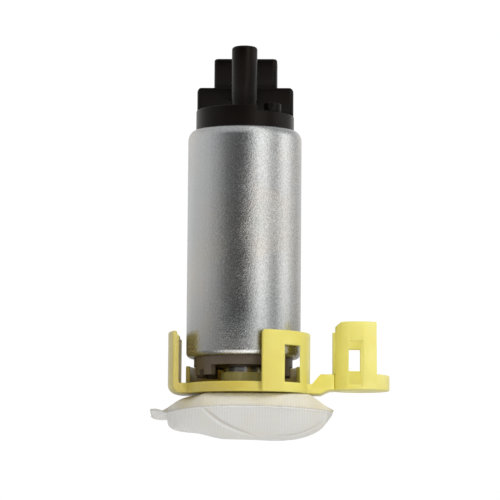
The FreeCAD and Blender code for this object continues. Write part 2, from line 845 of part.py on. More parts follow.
def build_terminal(label, sign):
    """Stamped blade with a foot that reaches its choke."""
    near = "(blade_x - blade_width / 2)"
    far = "(blade_x + blade_width / 2)"
    tip = f"({SOCKET_TOP} - blade_recess)"
    foot = f"({CHOKE_ROOF} - 2 * blade_foot)"
    reach = "(choke_x - choke_coil_radius - 2 * fit_gap)"
    corners = [
        (near, foot),
        (reach, foot),
        (reach, f"{foot} + blade_foot"),
        (far, f"{foot} + blade_foot"),
        (far, f"{tip} - blade_tip"),
        (f"{far} - blade_tip", tip),
        (f"{near} + blade_tip", tip),
        (near, f"{tip} - blade_tip"),
    ]
    turned = [(f"{sign} * ({x})", z) for x, z in corners]
    blade = prism(label + "_blade", turned, "blade_y - blade_thickness / 2", "blade_y + blade_thickness / 2")
    keep(label, blade)


def build_choke(side, sign):
    """Ferrite rod and its winding."""
    top = f"({CHOKE_ROOF} - fit_gap)"
    x = f"{sign} * choke_x"
    rod_bottom = f"({top} - choke_rod_length)"
    keep(
        f"choke_core_{side}",
        cylinder(f"rod_{side}", "choke_rod_radius", rod_bottom, top, x, "choke_y"),
    )
    coil_top = f"({top} - choke_drop)"
    coil_bottom = f"({coil_top} - choke_coil_length)"
    inner = "choke_rod_radius + fit_gap"
    coil = tube(f"coil_{side}", "choke_coil_radius", inner, coil_bottom, coil_top, x, "choke_y")
    keep(f"choke_coil_{side}", coil)


def build_brush(side, sign):
    """Carbon brush with its spring and its braided lead."""
    middle = f"({sign} * brush_x)"
    carbon = block(
        f"carbon_{side}",
        (f"{middle} - brush_width / 2", f"{middle} + brush_width / 2"),
        ("-brush_depth / 2", "brush_depth / 2"),
        (BRUSH_FACE, BRUSH_TOP),
    )
    keep(f"brush_{side}", carbon)
    coil = spring(
        f"brush_coil_{side}",
        "brush_spring_radius",
        "brush_spring_wire",
        "brush_spring_turns",
        f"{BRUSH_TOP} + fit_gap",
        f"{CHAMBER_TOP} - fit_gap",
        middle,
    )
    keep(f"brush_spring_{side}", coil)
    lead = cylinder(f"lead_{side}", "pigtail_radius", BRUSH_TOP, CHAMBER_TOP, middle)
    keep(f"pigtail_{side}", lead)


def build_bearings():
    """Sintered bushes at both ends of the shaft."""
    bore = "shaft_radius + bearing_gap"
    top = f"({UPPER_BUSH} + bearing_length)"
    keep("upper_bearing", tube("upper_bush", "bearing_radius", bore, UPPER_BUSH, top))
    top = f"({LOWER_BUSH} + bearing_length)"
    keep("lower_bearing", tube("lower_bush", "bearing_radius", bore, LOWER_BUSH, top))


def build_shaft():
    """Ground steel shaft with chamfered ends."""
    body = new_body("shaft_body")
    corners = [
        ("0", SHAFT_BOTTOM),
        ("shaft_radius - shaft_chamfer", SHAFT_BOTTOM),
        ("shaft_radius", f"{SHAFT_BOTTOM} + shaft_chamfer"),
        ("shaft_radius", f"{SHAFT_TOP} - shaft_chamfer"),
        ("shaft_radius - shaft_chamfer", SHAFT_TOP),
        ("0", SHAFT_TOP),
    ]
    revolve(body, "shaft_turned", corners)
    keep("rotor_shaft", body)
    base = f"({SHAFT_BOTTOM} - fit_gap)"
    keep("thrust_pin", cylinder("thrust_button", "thrust_radius", f"{base} - thrust_length", base))


def build_armature():
    """Laminated core with open slots, and the winding that fills them."""
    core = new_body("core_body")
    pad(core, "core_disc", CORE_BOTTOM, CORE_TOP, circles=[("armature_radius",), ("shaft_radius + fit_gap / 2",)])
    mouth = f"(armature_radius + {PAST})"
    slot = [
        ("slot_inner", "-slot_half_width"),
        ("slot_outer", "-slot_half_width"),
        ("slot_outer", "-slot_mouth"),
        (mouth, "-slot_mouth"),
        (mouth, "slot_mouth"),
        ("slot_outer", "slot_mouth"),
        ("slot_outer", "slot_half_width"),
        ("slot_inner", "slot_half_width"),
    ]
    cutter = pocket(core, "core_slot", CORE_TOP, "armature_length", slot)
    repeat_around(core, "core_slots", cutter, "slot_count")
    keep("armature_core", core)

    wound = new_body("winding_body")
    inner = "(slot_inner + winding_gap)"
    outer = "(slot_outer - winding_gap)"
    half = "(slot_half_width - winding_gap)"
    rings = [(outer,), ("slot_inner - slot_mouth",)]
    low = f"({CORE_BOTTOM} - winding_gap)"
    high = f"({CORE_TOP} + winding_gap)"
    pad(wound, "winding_low", f"{low} - winding_bottom", low, circles=rings)
    bar = [(inner, f"-{half}"), (outer, f"-{half}"), (outer, half), (inner, half)]
    leg = pad(wound, "winding_leg", f"{low} - winding_mid", f"{high} + winding_mid", bar)
    repeat_around(wound, "winding_legs", leg, "slot_count")
    pad(wound, "winding_high", high, f"{high} + winding_top", circles=rings)
    keep("armature_windings", wound)


def build_commutator():
    """Flat commutator: a disc cut into segments, on a hub."""
    body = new_body("commutator_body")
    bore = "shaft_radius + fit_gap / 2"
    bottom = f"({BRUSH_FACE} - commutator_height)"
    pad(body, "commutator_disc", bottom, BRUSH_FACE, circles=[("commutator_radius",), (bore,)])
    half = "(commutator_slit / 2)"
    edge = f"(commutator_radius + {PAST})"
    slit = [("commutator_hub", f"-{half}"), (edge, f"-{half}"), (edge, half), ("commutator_hub", half)]
    cutter = pocket(body, "commutator_cut", BRUSH_FACE, "commutator_slit_depth", slit)
    repeat_around(body, "commutator_cuts", cutter, "slot_count")
    keep("commutator", body)


def build_magnets():
    """Two arc magnets inside the can and the spring clips between them."""
    for side, start in (("right", "(-magnet_sweep / 2)"), ("left", f"({HALF_TURN} - magnet_sweep / 2)")):
        arc = tube(
            f"magnet_arc_{side}", SEATED, "magnet_inner", MAGNET_BOTTOM, MAGNET_TOP, start=start, sweep="magnet_sweep"
        )
        keep(f"magnet_{side}", arc)
    sweep = f"({HALF_TURN} - magnet_sweep - 2 * clip_inset)"
    bottom = f"({MAGNET_BOTTOM} + clip_inset)"
    top = f"({MAGNET_TOP} - clip_inset)"
    for side, middle in (("rear", QUARTER_TURN), ("front", THREE_QUARTERS)):
        start = f"({middle} - {sweep} / 2)"
        end = f"({middle} + {sweep} / 2 - clip_leg_sweep)"
        skin = tube(f"clip_skin_{side}", SEATED, f"{SEATED} - clip_thickness", bottom, top, start=start, sweep=sweep)
        legs = [
            tube(f"clip_leg_{side}_{number}", SEATED, "clip_inner", bottom, top, start=at, sweep="clip_leg_sweep")
            for number, at in enumerate((start, end))
        ]
        keep(f"magnet_clip_{side}", fuse(f"clip_{side}", skin, *legs))


def build_pump_casing():
    """Upper half of the pumping chamber with its flow channel and bearing hub."""
    whole = fuse(
        "casing_whole",
        cylinder("casing_disc", SEATED, COVER_TOP, CASING_TOP),
        cylinder(
            "casing_hub", "bearing_radius + fit_gap + hub_wall", COVER_TOP, f"{CASING_TOP} + casing_hub_height"
        ),
    )
    below = f"({COVER_TOP} - {PAST})"
    above = f"({CASING_TOP} + {PAST})"
    ring = tube(
        "casing_channel",
        "vane_outer",
        "vane_inner",
        f"{POCKET_TOP} - {PAST}",
        f"{POCKET_TOP} + channel_depth",
        start="channel_start",
        sweep="channel_sweep",
    )
    port_radius = "((vane_inner + vane_outer) / 2)"
    holes = [
        cylinder("casing_pocket", "impeller_radius + swing_gap", below, POCKET_TOP),
        cylinder("casing_bush", "bearing_radius + fit_gap", LOWER_BUSH, f"{CASING_TOP} + casing_hub_height + {PAST}"),
        cylinder("casing_shaft", "shaft_radius + swing_gap", below, above),
        cylinder("casing_outlet", "casing_port", COVER_TOP, above, f"-{port_radius}"),
        ring,
    ]
    keep("pump_casing", cut("casing_cut", whole, *holes))


def build_impeller():
    """Turbine wheel with a closed rim."""
    body = new_body("impeller_body")
    bottom = f"({COVER_TOP} + running_gap)"
    top = f"({bottom} + impeller_thickness)"
    circles = [("impeller_radius",), ("shaft_radius + fit_gap / 2",)]
    pad(body, "impeller_disc", bottom, top, circles=circles)
    half = "(vane_gap / 2)"
    gap = [("vane_inner", f"-{half}"), ("vane_outer", f"-{half}"), ("vane_outer", half), ("vane_inner", half)]
    cutter = pocket(body, "impeller_gap", top, "impeller_thickness", gap)
    repeat_around(body, "impeller_gaps", cutter, "vane_count")
    keep("impeller", body)


def cover_foot(number, middle):
    """One of the feet under the cover's rim, with a small notch."""
    inner = "disc_radius - cover_rim_width"
    bottom = f"({CAN_BOTTOM} - foot_drop)"
    start = f"({middle} - foot_sweep / 2)"
    pad_solid = tube(
        f"foot_{number}", "disc_radius", inner, bottom, f"{COVER_BOTTOM} + {PAST}", start=start, sweep="foot_sweep"
    )
    notch = cylinder(
        f"foot_notch_{number}",
        f"disc_radius + {PAST}",
        f"{bottom} - {PAST}",
        f"{bottom} + foot_notch_height",
        start=f"({middle} - foot_notch_sweep / 2)",
        sweep="foot_notch_sweep",
    )
    return cut(f"foot_cut_{number}", pad_solid, notch)


def build_inlet_cover():
    """Lower half of the pumping chamber, with the inlet spigot and four feet."""
    body = new_body("cover_body")
    floor = f"({SHAFT_BOTTOM} - fit_gap - thrust_length - inlet_floor)"
    room = "(shaft_radius + swing_gap)"
    corners = [
        ("0", floor),
        ("spigot_bore", floor),
        ("spigot_bore", SPIGOT_BOTTOM),
        ("spigot_radius", SPIGOT_BOTTOM),
        ("spigot_radius", COVER_BOTTOM),
        ("disc_radius - cover_rim_width", COVER_BOTTOM),
        ("disc_radius - cover_rim_width", f"{COVER_BOTTOM} - cover_rim"),
        ("disc_radius", f"{COVER_BOTTOM} - cover_rim"),
        ("disc_radius", f"{COVER_SEAT} + fit_gap"),
        (SEATED, f"{COVER_SEAT} + fit_gap"),
        (SEATED, COVER_TOP),
        (room, COVER_TOP),
        (room, f"{SHAFT_BOTTOM} - fit_gap"),
        ("thrust_radius + fit_gap", f"{SHAFT_BOTTOM} - fit_gap"),
        ("thrust_radius + fit_gap", f"{SHAFT_BOTTOM} - fit_gap - thrust_length"),
        ("0", f"{SHAFT_BOTTOM} - fit_gap - thrust_length"),
    ]
    revolve(body, "cover_turned", corners)
    middles = [
        f"({side} {sign} ({QUARTER_TURN} - foot_middle))" for side in ("0", HALF_TURN) for sign in ("+", "-")
    ]
    feet = [cover_foot(number, middle) for number, middle in enumerate(middles)]
    port_radius = "((vane_inner + vane_outer) / 2)"
    slot = block(
        "inlet_slot",
        ("0", f"{port_radius} + casing_port"),
        ("-inlet_slot_half", "inlet_slot_half"),
        (f"{floor} - inlet_slot_height", floor),
    )
    rise = cylinder("inlet_rise", "casing_port", f"{floor} - inlet_slot_height", f"{COVER_TOP} + {PAST}", port_radius)
    keep("inlet_cover", cut("cover_cut", fuse("cover_whole", body, *feet), slot, rise))


def build_retaining_ring():
    """Steel push-on ring that holds the strainer on the spigot."""
    ring = tube(
        "push_ring", "ring_outer", "spigot_radius + fit_gap", f"{NECK_TOP} + fit_gap", f"{CAN_BOTTOM} - ring_top"
    )
    keep("retaining_ring", ring)


def build_strainer_frame():
    """Neck, flange and inner ribs of the strainer, moulded in one."""
    body = new_body("neck_body")
    flange_top = f"({SOCK_TOP} - neck_flange_drop)"
    flange_bottom = f"({flange_top} - neck_flange_height)"
    corners = [
        ("neck_bore", flange_bottom),
        ("neck_flange", flange_bottom),
        ("neck_flange", flange_top),
        ("neck_radius", flange_top),
        ("neck_radius", NECK_TOP),
        ("spigot_radius + fit_gap", NECK_TOP),
        ("spigot_radius + fit_gap", f"{SPIGOT_BOTTOM} - fit_gap"),
        ("neck_bore", f"{SPIGOT_BOTTOM} - fit_gap"),
    ]
    revolve(body, "neck_turned", corners)
    height = (f"{flange_bottom} - rib_height", flange_bottom)
    along = block("rib_along", ("-rib_half_length", "rib_half_length"), ("-rib_half_width", "rib_half_width"), height)
    across = block("rib_across", ("-rib_half_width", "rib_half_width"), ("-rib_half_span", "rib_half_span"), height)
    ends = [
        block(
            f"rib_end_{number}",
            (f"{sign} * rib_half_length - rib_half_width", f"{sign} * rib_half_length + rib_half_width"),
            ("-rib_half_span / 2", "rib_half_span / 2"),
            height,
        )
        for number, sign in enumerate(("1", "-1"))
    ]
    keep("strainer_frame", fuse("strainer_whole", body, along, across, *ends))


def share_at(run, place):
    """Share at a place between the points of a run."""
    for (start, low), (end, high) in zip(run, run[1:]):
        if place <= end:
            return low + (high - low) * (place - start) / (end - start)
    return run[-1][1]


class SockForm:
    """Outline and section of the welded mesh bag, from the sizes in the sheet."""

    def __init__(self):
        self.left = -size("sock_left")
        self.right = size("sock_right")
        self.start = self.left + size("sock_tab_length")
        self.middle = (self.start + self.right) / 2
        self.half = (self.right - self.start) / 2
        self.seam = -size("can_length") / 2 - size("sock_seam")
        self.crown = size("sock_seam") - size("sock_top")
        self.belly = size("sock_bottom") - size("sock_seam")

    def share(self, x):
        """Place along the bag, from -1 on its left tab to 1 at its right tip."""
        return max(-1.0, (x - self.middle) / self.half)

    def swell(self, x, power):
        """Fullness at a place along the bag, from 0 at the ends to 1 in the middle."""
        return max(0.0, 1 - abs(self.share(x)) ** power)

    def edges(self, x):
        """Front and rear edge of the bag as Y."""
        along = (self.share(x) + 1) / 2
        tip = size("sock_left_y") + (size("sock_right_y") - size("sock_left_y")) * along
        front = tip - (size("sock_front") + tip) * self.swell(x, PLAN_ROUNDNESS) ** PLAN_FULLNESS
        squareness = PLAN_ROUNDNESS + CORNER_SQUARENESS * max(0.0, self.share(x)) ** 2
        back = tip + (size("sock_back") - tip) * self.swell(x, squareness) ** PLAN_FULLNESS
        if self.share(x) < 0:
            front = min(front, tip - size("sock_tab_half"))
            back = max(back, tip + size("sock_tab_half"))
        return front, back

    def droop(self, x, part):
        """Drop of the seam: it hangs at both ends, lowest at the rear right, and twists at the left tab."""
        full_back = size("sock_back") - size("sock_right_y")
        corner = (self.edges(x)[1] - size("sock_right_y")) / full_back
        ends = size("sock_end_drop") * self.share(x) ** 2
        twist = size("sock_tab_twist") * max(0.0, -self.share(x)) ** TAB_SHARPNESS
        return ends + (size("sock_droop") * (self.share(x) + 1) / 2 * corner + twist) * part

    def wire(self, x, inset):
        """Closed section of the bag's outside, or of its inside if an inset is given."""
        front, back = self.edges(x)
        front, back = front + inset, back - inset
        wall = size("sock_wall") if inset else 0.0
        edge = size("sock_weld") / 2 - wall / 2
        top = self.seam + self.crown * share_at(CROWN_RUN, self.share(x)) - wall
        bottom = self.seam - self.belly * share_at(BELLY_RUN, self.share(x)) + wall
        upper = [self.spot(x, front, back, part, edge, top, share) for part, share in CROWN_SHAPE]
        lower = [self.spot(x, front, back, part, -edge, bottom, share) for part, share in BELLY_SHAPE]
        lines = []
        for spots in (upper, lower):
            curve = Part.BSplineCurve()
            curve.interpolate(spots)
            lines.append(curve.discretize(SOCK_FACETS + 1))
        return Part.makePolygon([*lines[0], *reversed(lines[1]), lines[0][0]])

    def spot(self, x, front, back, part, edge, level, share):
        """Point of a section at a part of its width, a share of the way from the seam to a level."""
        seam = self.seam - self.droop(x, part)
        reach = max(0.0, level - seam - edge) if edge > 0 else min(0.0, level - seam - edge)
        return Vector(x, front + (back - front) * part, seam + edge + reach * share)

    def solid(self, first, last, inset):
        """Solid lofted between two places, its sections closer together near the bag's ends."""
        shares = [(1 - math.cos(math.pi * step / SOCK_STEPS)) / 2 for step in range(SOCK_STEPS + 1)]
        places = [self.start + (self.right - self.start) * share for share in shares]
        between = [x for x in places if first < x < last]
        return Part.makeLoft([self.wire(x, inset) for x in (first, *between, last)], True, True)


def build_sock():
    """Welded mesh bag, hollow, with a hole for the strainer's neck."""
    form = SockForm()
    band = size("sock_weld_band")
    outside = form.solid(form.left, form.right - size("sock_tip"), 0.0)
    inside = form.solid(form.start + band, form.right - band, band)
    top = -size("can_length") / 2 - size("sock_top") + size("sock_weld")
    reach = size("sock_weld") + size("sock_wall") + size("neck_flange_height")
    hole = Part.makeCylinder(size("neck_radius") + size("fit_gap"), reach, Vector(0, 0, top - reach))
    sock = DOC.addObject("Part::Feature", "sock")
    sock.Shape = outside.cut([inside, hole])
    sock.Placement = Placement(Vector(), Rotation())
    keep("strainer_sock", sock)


def build_check_valve():
    """Outlet check valve: plunger, spring and the guide pressed into the nipple."""
    y = "-nipple_offset"
    body = new_body("valve_body")
    seat = f"({VALVE_SEAT} + fit_gap)"
    head = f"({seat} + valve_head)"
    corners = [
        ("0", seat),
        ("valve_radius", seat),
        ("valve_radius", f"{seat} + valve_head / 2"),
        ("valve_radius - valve_head / 4", head),
        ("valve_stem", head),
        ("valve_stem", f"{seat} + valve_stem_length"),
        ("0", f"{seat} + valve_stem_length"),
    ]
    revolve(body, "valve_turned", corners)
    place(body, y=y)
    keep("check_valve", body)
    top = f"({head} + valve_spring_length)"
    coil = spring(
        "valve_coil", "valve_spring_radius", "valve_spring_wire", "valve_spring_turns",
        f"{head} + fit_gap", f"{top} - fit_gap", y=y,
    )
    keep("check_valve_spring", coil)
    end = f"({top} + retainer_height)"
    outer = "(nipple_bore - fit_gap)"
    ring = tube("guide_ring", outer, f"{outer} - retainer_wall", top, end, y=y)
    hub = cylinder("guide_hub", "retainer_hub", top, end, y=y)
    arms = [
        block(
            f"guide_arm_{number}",
            span_x,
            (f"{y} - {reach}", f"{y} + {reach}"),
            (top, end),
        )
        for number, (span_x, reach) in enumerate((
            ((f"-({outer} - retainer_wall / 2)", f"{outer} - retainer_wall / 2"), "(retainer_arm / 2)"),
            (("-retainer_arm / 2", "retainer_arm / 2"), f"({outer} - retainer_wall / 2)"),
        ))
    ]
    bore = cylinder("guide_bore", "valve_stem + running_gap", f"{top} - {PAST}", f"{end} + {PAST}", y=y)
    keep("check_valve_retainer", cut("guide", fuse("guide_whole", ring, hub, *arms), bore))


def build_relief_valve():
    """Relief valve in the small boss: ball, spring and vented plug."""
    x = "boss_x"
    y = "-boss_y"
    # The ball touches a seat that opens at 45 degrees, so its centre stands sqrt(2) radii above the seat's apex
    centre = f"({RELIEF_SEAT} - relief_port + (relief_ball_radius + fit_gap) * sqrt(2))"
    ball = DOC.addObject("Part::Sphere", "ball")
    bind(ball, "Radius", "relief_ball_radius")
    place(ball, x, y, centre)
    keep("relief_ball", ball)
    plug_bottom = f"({BOSS_TOP} - relief_plug_height)"
    plug = tube("plug", "relief_bore - fit_gap", "relief_vent", plug_bottom, BOSS_TOP, x, y)
    keep("relief_plug", plug)
    touch = "sqrt((relief_ball_radius + relief_spring_wire) ^ 2 - relief_spring_radius ^ 2)"
    coil = spring(
        "relief_coil", "relief_spring_radius", "relief_spring_wire", "relief_spring_turns",
        f"{centre} + {touch} - relief_spring_wire + fit_gap", f"{plug_bottom} - fit_gap", x, y,
    )
    keep("relief_spring", coil)


def bracket_post():
    """Left post: an arc of wall that rises from a heel on the plate."""
    body = new_body("post_body")
    top = f"({CAN_BOTTOM} + post_rise)"
    inner = "(post_radius - post_wall)"
    corners = [
        ("neck_radius + cup_wall", PLATE_BOTTOM),
        ("post_radius", PLATE_BOTTOM),
        ("post_radius", top),
        (f"{inner} + post_step", top),
        (f"{inner} + post_step", f"{top} - post_step_height"),
        (inner, f"{top} - post_step_height"),
        (inner, PLATE_TOP),
        ("neck_radius + cup_wall", PLATE_TOP),
    ]
    revolve(body, "post_turned", corners, "2 * post_half_sweep")
    place(body, turn=HALF_TURN)
    DOC.recompute()
    bottom = -size("can_length") / 2 - size("plate_top") - size("plate_thickness")
    radius = size("post_radius")

    def outer_heel(edge):
        return is_level_at(edge, bottom) and isinstance(edge.Curve, Part.Circle) and (
            abs(edge.Curve.Radius - radius) < TOLERANCE
        )

    return soften("post_round", body, "post_heel", outer_heel)


def bracket_hook():
    """Front hook: an arc of wall with a window."""
    start = f"({THREE_QUARTERS} + hook_start)"
    sweep = "(hook_end - hook_start)"
    top = f"({CAN_BOTTOM} + hook_rise)"
    wall = tube(
        "hook_wall_solid", "hook_radius", "hook_radius - hook_wall", PLATE_BOTTOM, top, start=start, sweep=sweep
    )
    foot = cylinder("hook_foot", "hook_radius", PLATE_BOTTOM, PLATE_TOP, start=start, sweep=sweep)
    window = block(
        "hook_window",
        ("hook_window_left", "hook_window_right"),
        (f"-hook_radius - {PAST}", "-web_half_width"),
        (PLATE_TOP, f"{CAN_BOTTOM} + hook_window_rise"),
    )
    return fuse("hook", cut("hook_open", wall, window), foot)


def bracket_web():
    """Channel that joins the plate to the cup: a floor and two side walls with a valley."""
    valley = f"({CAN_BOTTOM} - web_valley_drop)"
    inner = f"(hook_radius - hook_wall - {PAST})"
    corners = [
        (inner, PLATE_BOTTOM),
        ("web_shoulder_x", PLATE_BOTTOM),
        ("cup_x - cup_radius", CUP_BOTTOM),
        ("cup_x - cup_radius + cup_wall", CUP_BOTTOM),
        ("cup_x - cup_radius + cup_wall", CUP_RIM),
        ("web_shoulder_x", CUP_RIM),
        ("web_valley_x", valley),
        (inner, valley),
    ]
    front = prism("web_front", corners, "-web_half_width", "-web_half_width + web_wall")
    rear = prism("web_rear", corners, "web_half_width - web_wall", "web_half_width")
    floor = [
        (inner, PLATE_BOTTOM),
        ("web_shoulder_x", PLATE_BOTTOM),
        ("cup_x - cup_radius", CUP_BOTTOM),
        ("cup_x - cup_radius + cup_wall", CUP_BOTTOM),
        ("cup_x - cup_radius + cup_wall", CUP_FLOOR_TOP),
        ("cup_x - cup_radius", CUP_FLOOR_TOP),
        ("web_shoulder_x", f"{PLATE_BOTTOM} + cup_floor"),
        (inner, f"{PLATE_BOTTOM} + cup_floor"),
    ]
    base = prism("web_floor", floor, "-web_half_width", "web_half_width")
    return fuse("web", front, rear, base)


def bracket_cup():
    """Cup with a low rim and two tall towers with windows."""
    inner = "(cup_radius - cup_wall)"
    x = "cup_x"
    floor = cylinder("cup_base", "cup_radius", CUP_BOTTOM, CUP_FLOOR_TOP, x)
    rim = tube("cup_rim", "cup_radius", inner, CUP_BOTTOM, CUP_RIM, x)
    front_top = f"({CAN_BOTTOM} + tower_rise)"
    front = tube(
        "tower_front", "cup_radius", inner, CUP_BOTTOM, front_top, x,
        start="tower_start", sweep="tower_end - tower_start",
    )
    left = "(cup_x + cup_radius * cos(tower_start))"
    corner = prism(
        "tower_corner",
        [
            (f"{left} - {PAST}", f"{front_top} + {PAST}"),
            (f"{left} - {PAST}", f"{front_top} - tower_chamfer_drop"),
            (left, f"{front_top} - tower_chamfer_drop"),
            (f"{left} + tower_chamfer_run", front_top),
            (f"{left} + tower_chamfer_run", f"{front_top} + {PAST}"),
        ],
        f"-cup_radius - {PAST}",
        "0",
    )
    front_window = block(
        "tower_window",
        ("tower_window_left", "tower_window_right"),
        (f"-cup_radius - {PAST}", "-cup_radius / 2"),
        (CUP_FLOOR_TOP, f"{CAN_BOTTOM} + tower_window_rise"),
    )
    back = tube(
        "tower_back", "cup_radius", inner, CUP_BOTTOM, f"{CAN_BOTTOM} + back_tower_rise", x,
        start="back_tower_start", sweep="back_tower_end - back_tower_start",
    )
    back_window = block(
        "tower_back_window",
        ("back_window_left", "back_window_right"),
        ("cup_radius / 2", f"cup_radius + {PAST}"),
        (f"{CAN_BOTTOM} - back_window_drop", f"{CAN_BOTTOM} + back_window_rise"),
    )
    whole = fuse("cup_whole", floor, rim, front, back)
    return cut("cup", whole, corner, front_window, back_window)


def build_bracket():
    """Yellow bracket: plate, left post, rear wall, front hook, web and cup."""
    plate = cylinder("plate_disc", "plate_radius", PLATE_BOTTOM, PLATE_TOP)
    wall = tube(
        "rear_wall_solid",
        "rear_wall_radius",
        "rear_wall_radius - rear_wall",
        PLATE_BOTTOM,
        f"{CAN_BOTTOM} - rear_wall_drop",
        sweep=HALF_TURN,
    )
    whole = fuse("bracket_whole", plate, wall, bracket_post(), bracket_hook(), bracket_web(), bracket_cup())
    hole = cylinder("plate_hole", "neck_radius + fit_gap", f"{PLATE_BOTTOM} - {PAST}", f"{PLATE_TOP} + {PAST}")
    room = cylinder("cup_room", "cup_radius - cup_wall", CUP_FLOOR_TOP, CUP_RIM, "cup_x")
    keep("bracket", cut("bracket_cut", whole, hole, room))


def build_all():
    """Build every sub-part in order."""
    fill_sheet()
    build_can()
    build_end_cap()
    build_terminal("terminal_positive", "1")
    build_terminal("terminal_negative", "-1")
    for side, sign in SIDES:
        build_choke(side, sign)
        build_brush(side, sign)
    build_bearings()
    build_shaft()
    build_armature()
    build_commutator()
    build_magnets()
    build_pump_casing()
    build_impeller()
    build_inlet_cover()
    build_retaining_ring()
    build_strainer_frame()
    build_sock()
    build_check_valve()
    build_relief_valve()
    build_bracket()
    DOC.recompute()


def check_and_export():
    """Stop on any failed object, then write each sub-part to its own file."""
    failed = [item.Name for item in DOC.Objects if {"Invalid", "Error"} & set(item.State)]
    broken = [label for label, item in NODES.items() if item.Shape.isNull() or not item.Shape.isValid()]
    if failed or broken:
        raise RuntimeError(f"failed objects {failed}, broken shapes {broken}")
    os.makedirs("parts", exist_ok=True)
    for label, item in NODES.items():
        item.Shape.exportStep(os.path.join("parts", f"{label}.step"))
        print(f"{label}: {len(item.Shape.Solids)} solid, {item.Shape.Volume:.1f} mm3")


build_all()
check_and_export()
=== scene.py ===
"""Electric fuel pump for a tank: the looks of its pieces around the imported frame, its light and its camera.

Every length is in metres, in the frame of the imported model: the can's axis is Z and the outlet side faces -Y.
"""

import logging
import math
from dataclasses import dataclass
from enum import Enum
from itertools import accumulate
from typing import Iterable, Sequence

import bmesh
import bpy
from mathutils import Matrix, Vector
from mathutils.bvhtree import BVHTree


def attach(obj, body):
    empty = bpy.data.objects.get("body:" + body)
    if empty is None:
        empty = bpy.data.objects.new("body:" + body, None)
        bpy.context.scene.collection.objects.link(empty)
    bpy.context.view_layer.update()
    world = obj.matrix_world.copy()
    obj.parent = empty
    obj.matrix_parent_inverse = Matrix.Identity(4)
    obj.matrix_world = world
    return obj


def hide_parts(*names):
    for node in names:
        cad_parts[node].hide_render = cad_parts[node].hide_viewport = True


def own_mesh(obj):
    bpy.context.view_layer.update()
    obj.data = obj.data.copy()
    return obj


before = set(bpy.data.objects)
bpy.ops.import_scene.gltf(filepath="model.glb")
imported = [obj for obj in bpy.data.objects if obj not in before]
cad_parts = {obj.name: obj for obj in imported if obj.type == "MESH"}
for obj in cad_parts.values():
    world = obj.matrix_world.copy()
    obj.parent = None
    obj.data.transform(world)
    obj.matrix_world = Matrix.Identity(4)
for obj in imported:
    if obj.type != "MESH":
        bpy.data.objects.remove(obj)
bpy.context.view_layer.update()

MM = 0.001
# Distances within which vertices are merged: turned and swept pieces, copies and sheets, and eased copies
SAME, NEAR_SAME, EASED_SAME = 1e-7, 1e-6, 2e-6
# Length of one band of the wave texture at scale 1
BAND = 2 * math.pi / 20
LOG = logging.getLogger("fuel_pump")

Colour = tuple[float, float, float]
Stop = tuple[float, Colour]
Spot = tuple[float, float, float]
Flat = tuple[float, float]
Run = tuple[Flat, ...]
Piece = bpy.types.Object
Mesh = bmesh.types.BMesh
Material = bpy.types.Material
Socket = bpy.types.NodeSocket


class Body(Enum):
    """Body that the new pieces ride on."""

    PUMP = "pump"


class Slot(Enum):
    """Names of material slots of the record."""

    ZINC_STEEL = "zinc_steel"
    BRIGHT_STEEL = "bright_steel"
    BLACK_PLASTIC = "black_plastic"
    YELLOW_PLASTIC = "yellow_plastic"
    NYLON_MESH = "nylon_mesh"
    COPPER = "copper"


class Place(Enum):
    """What the patterns of a node tree are fixed to."""

    OBJECT = "Object"
    UV = "UV"
    WORLD = "Generated"


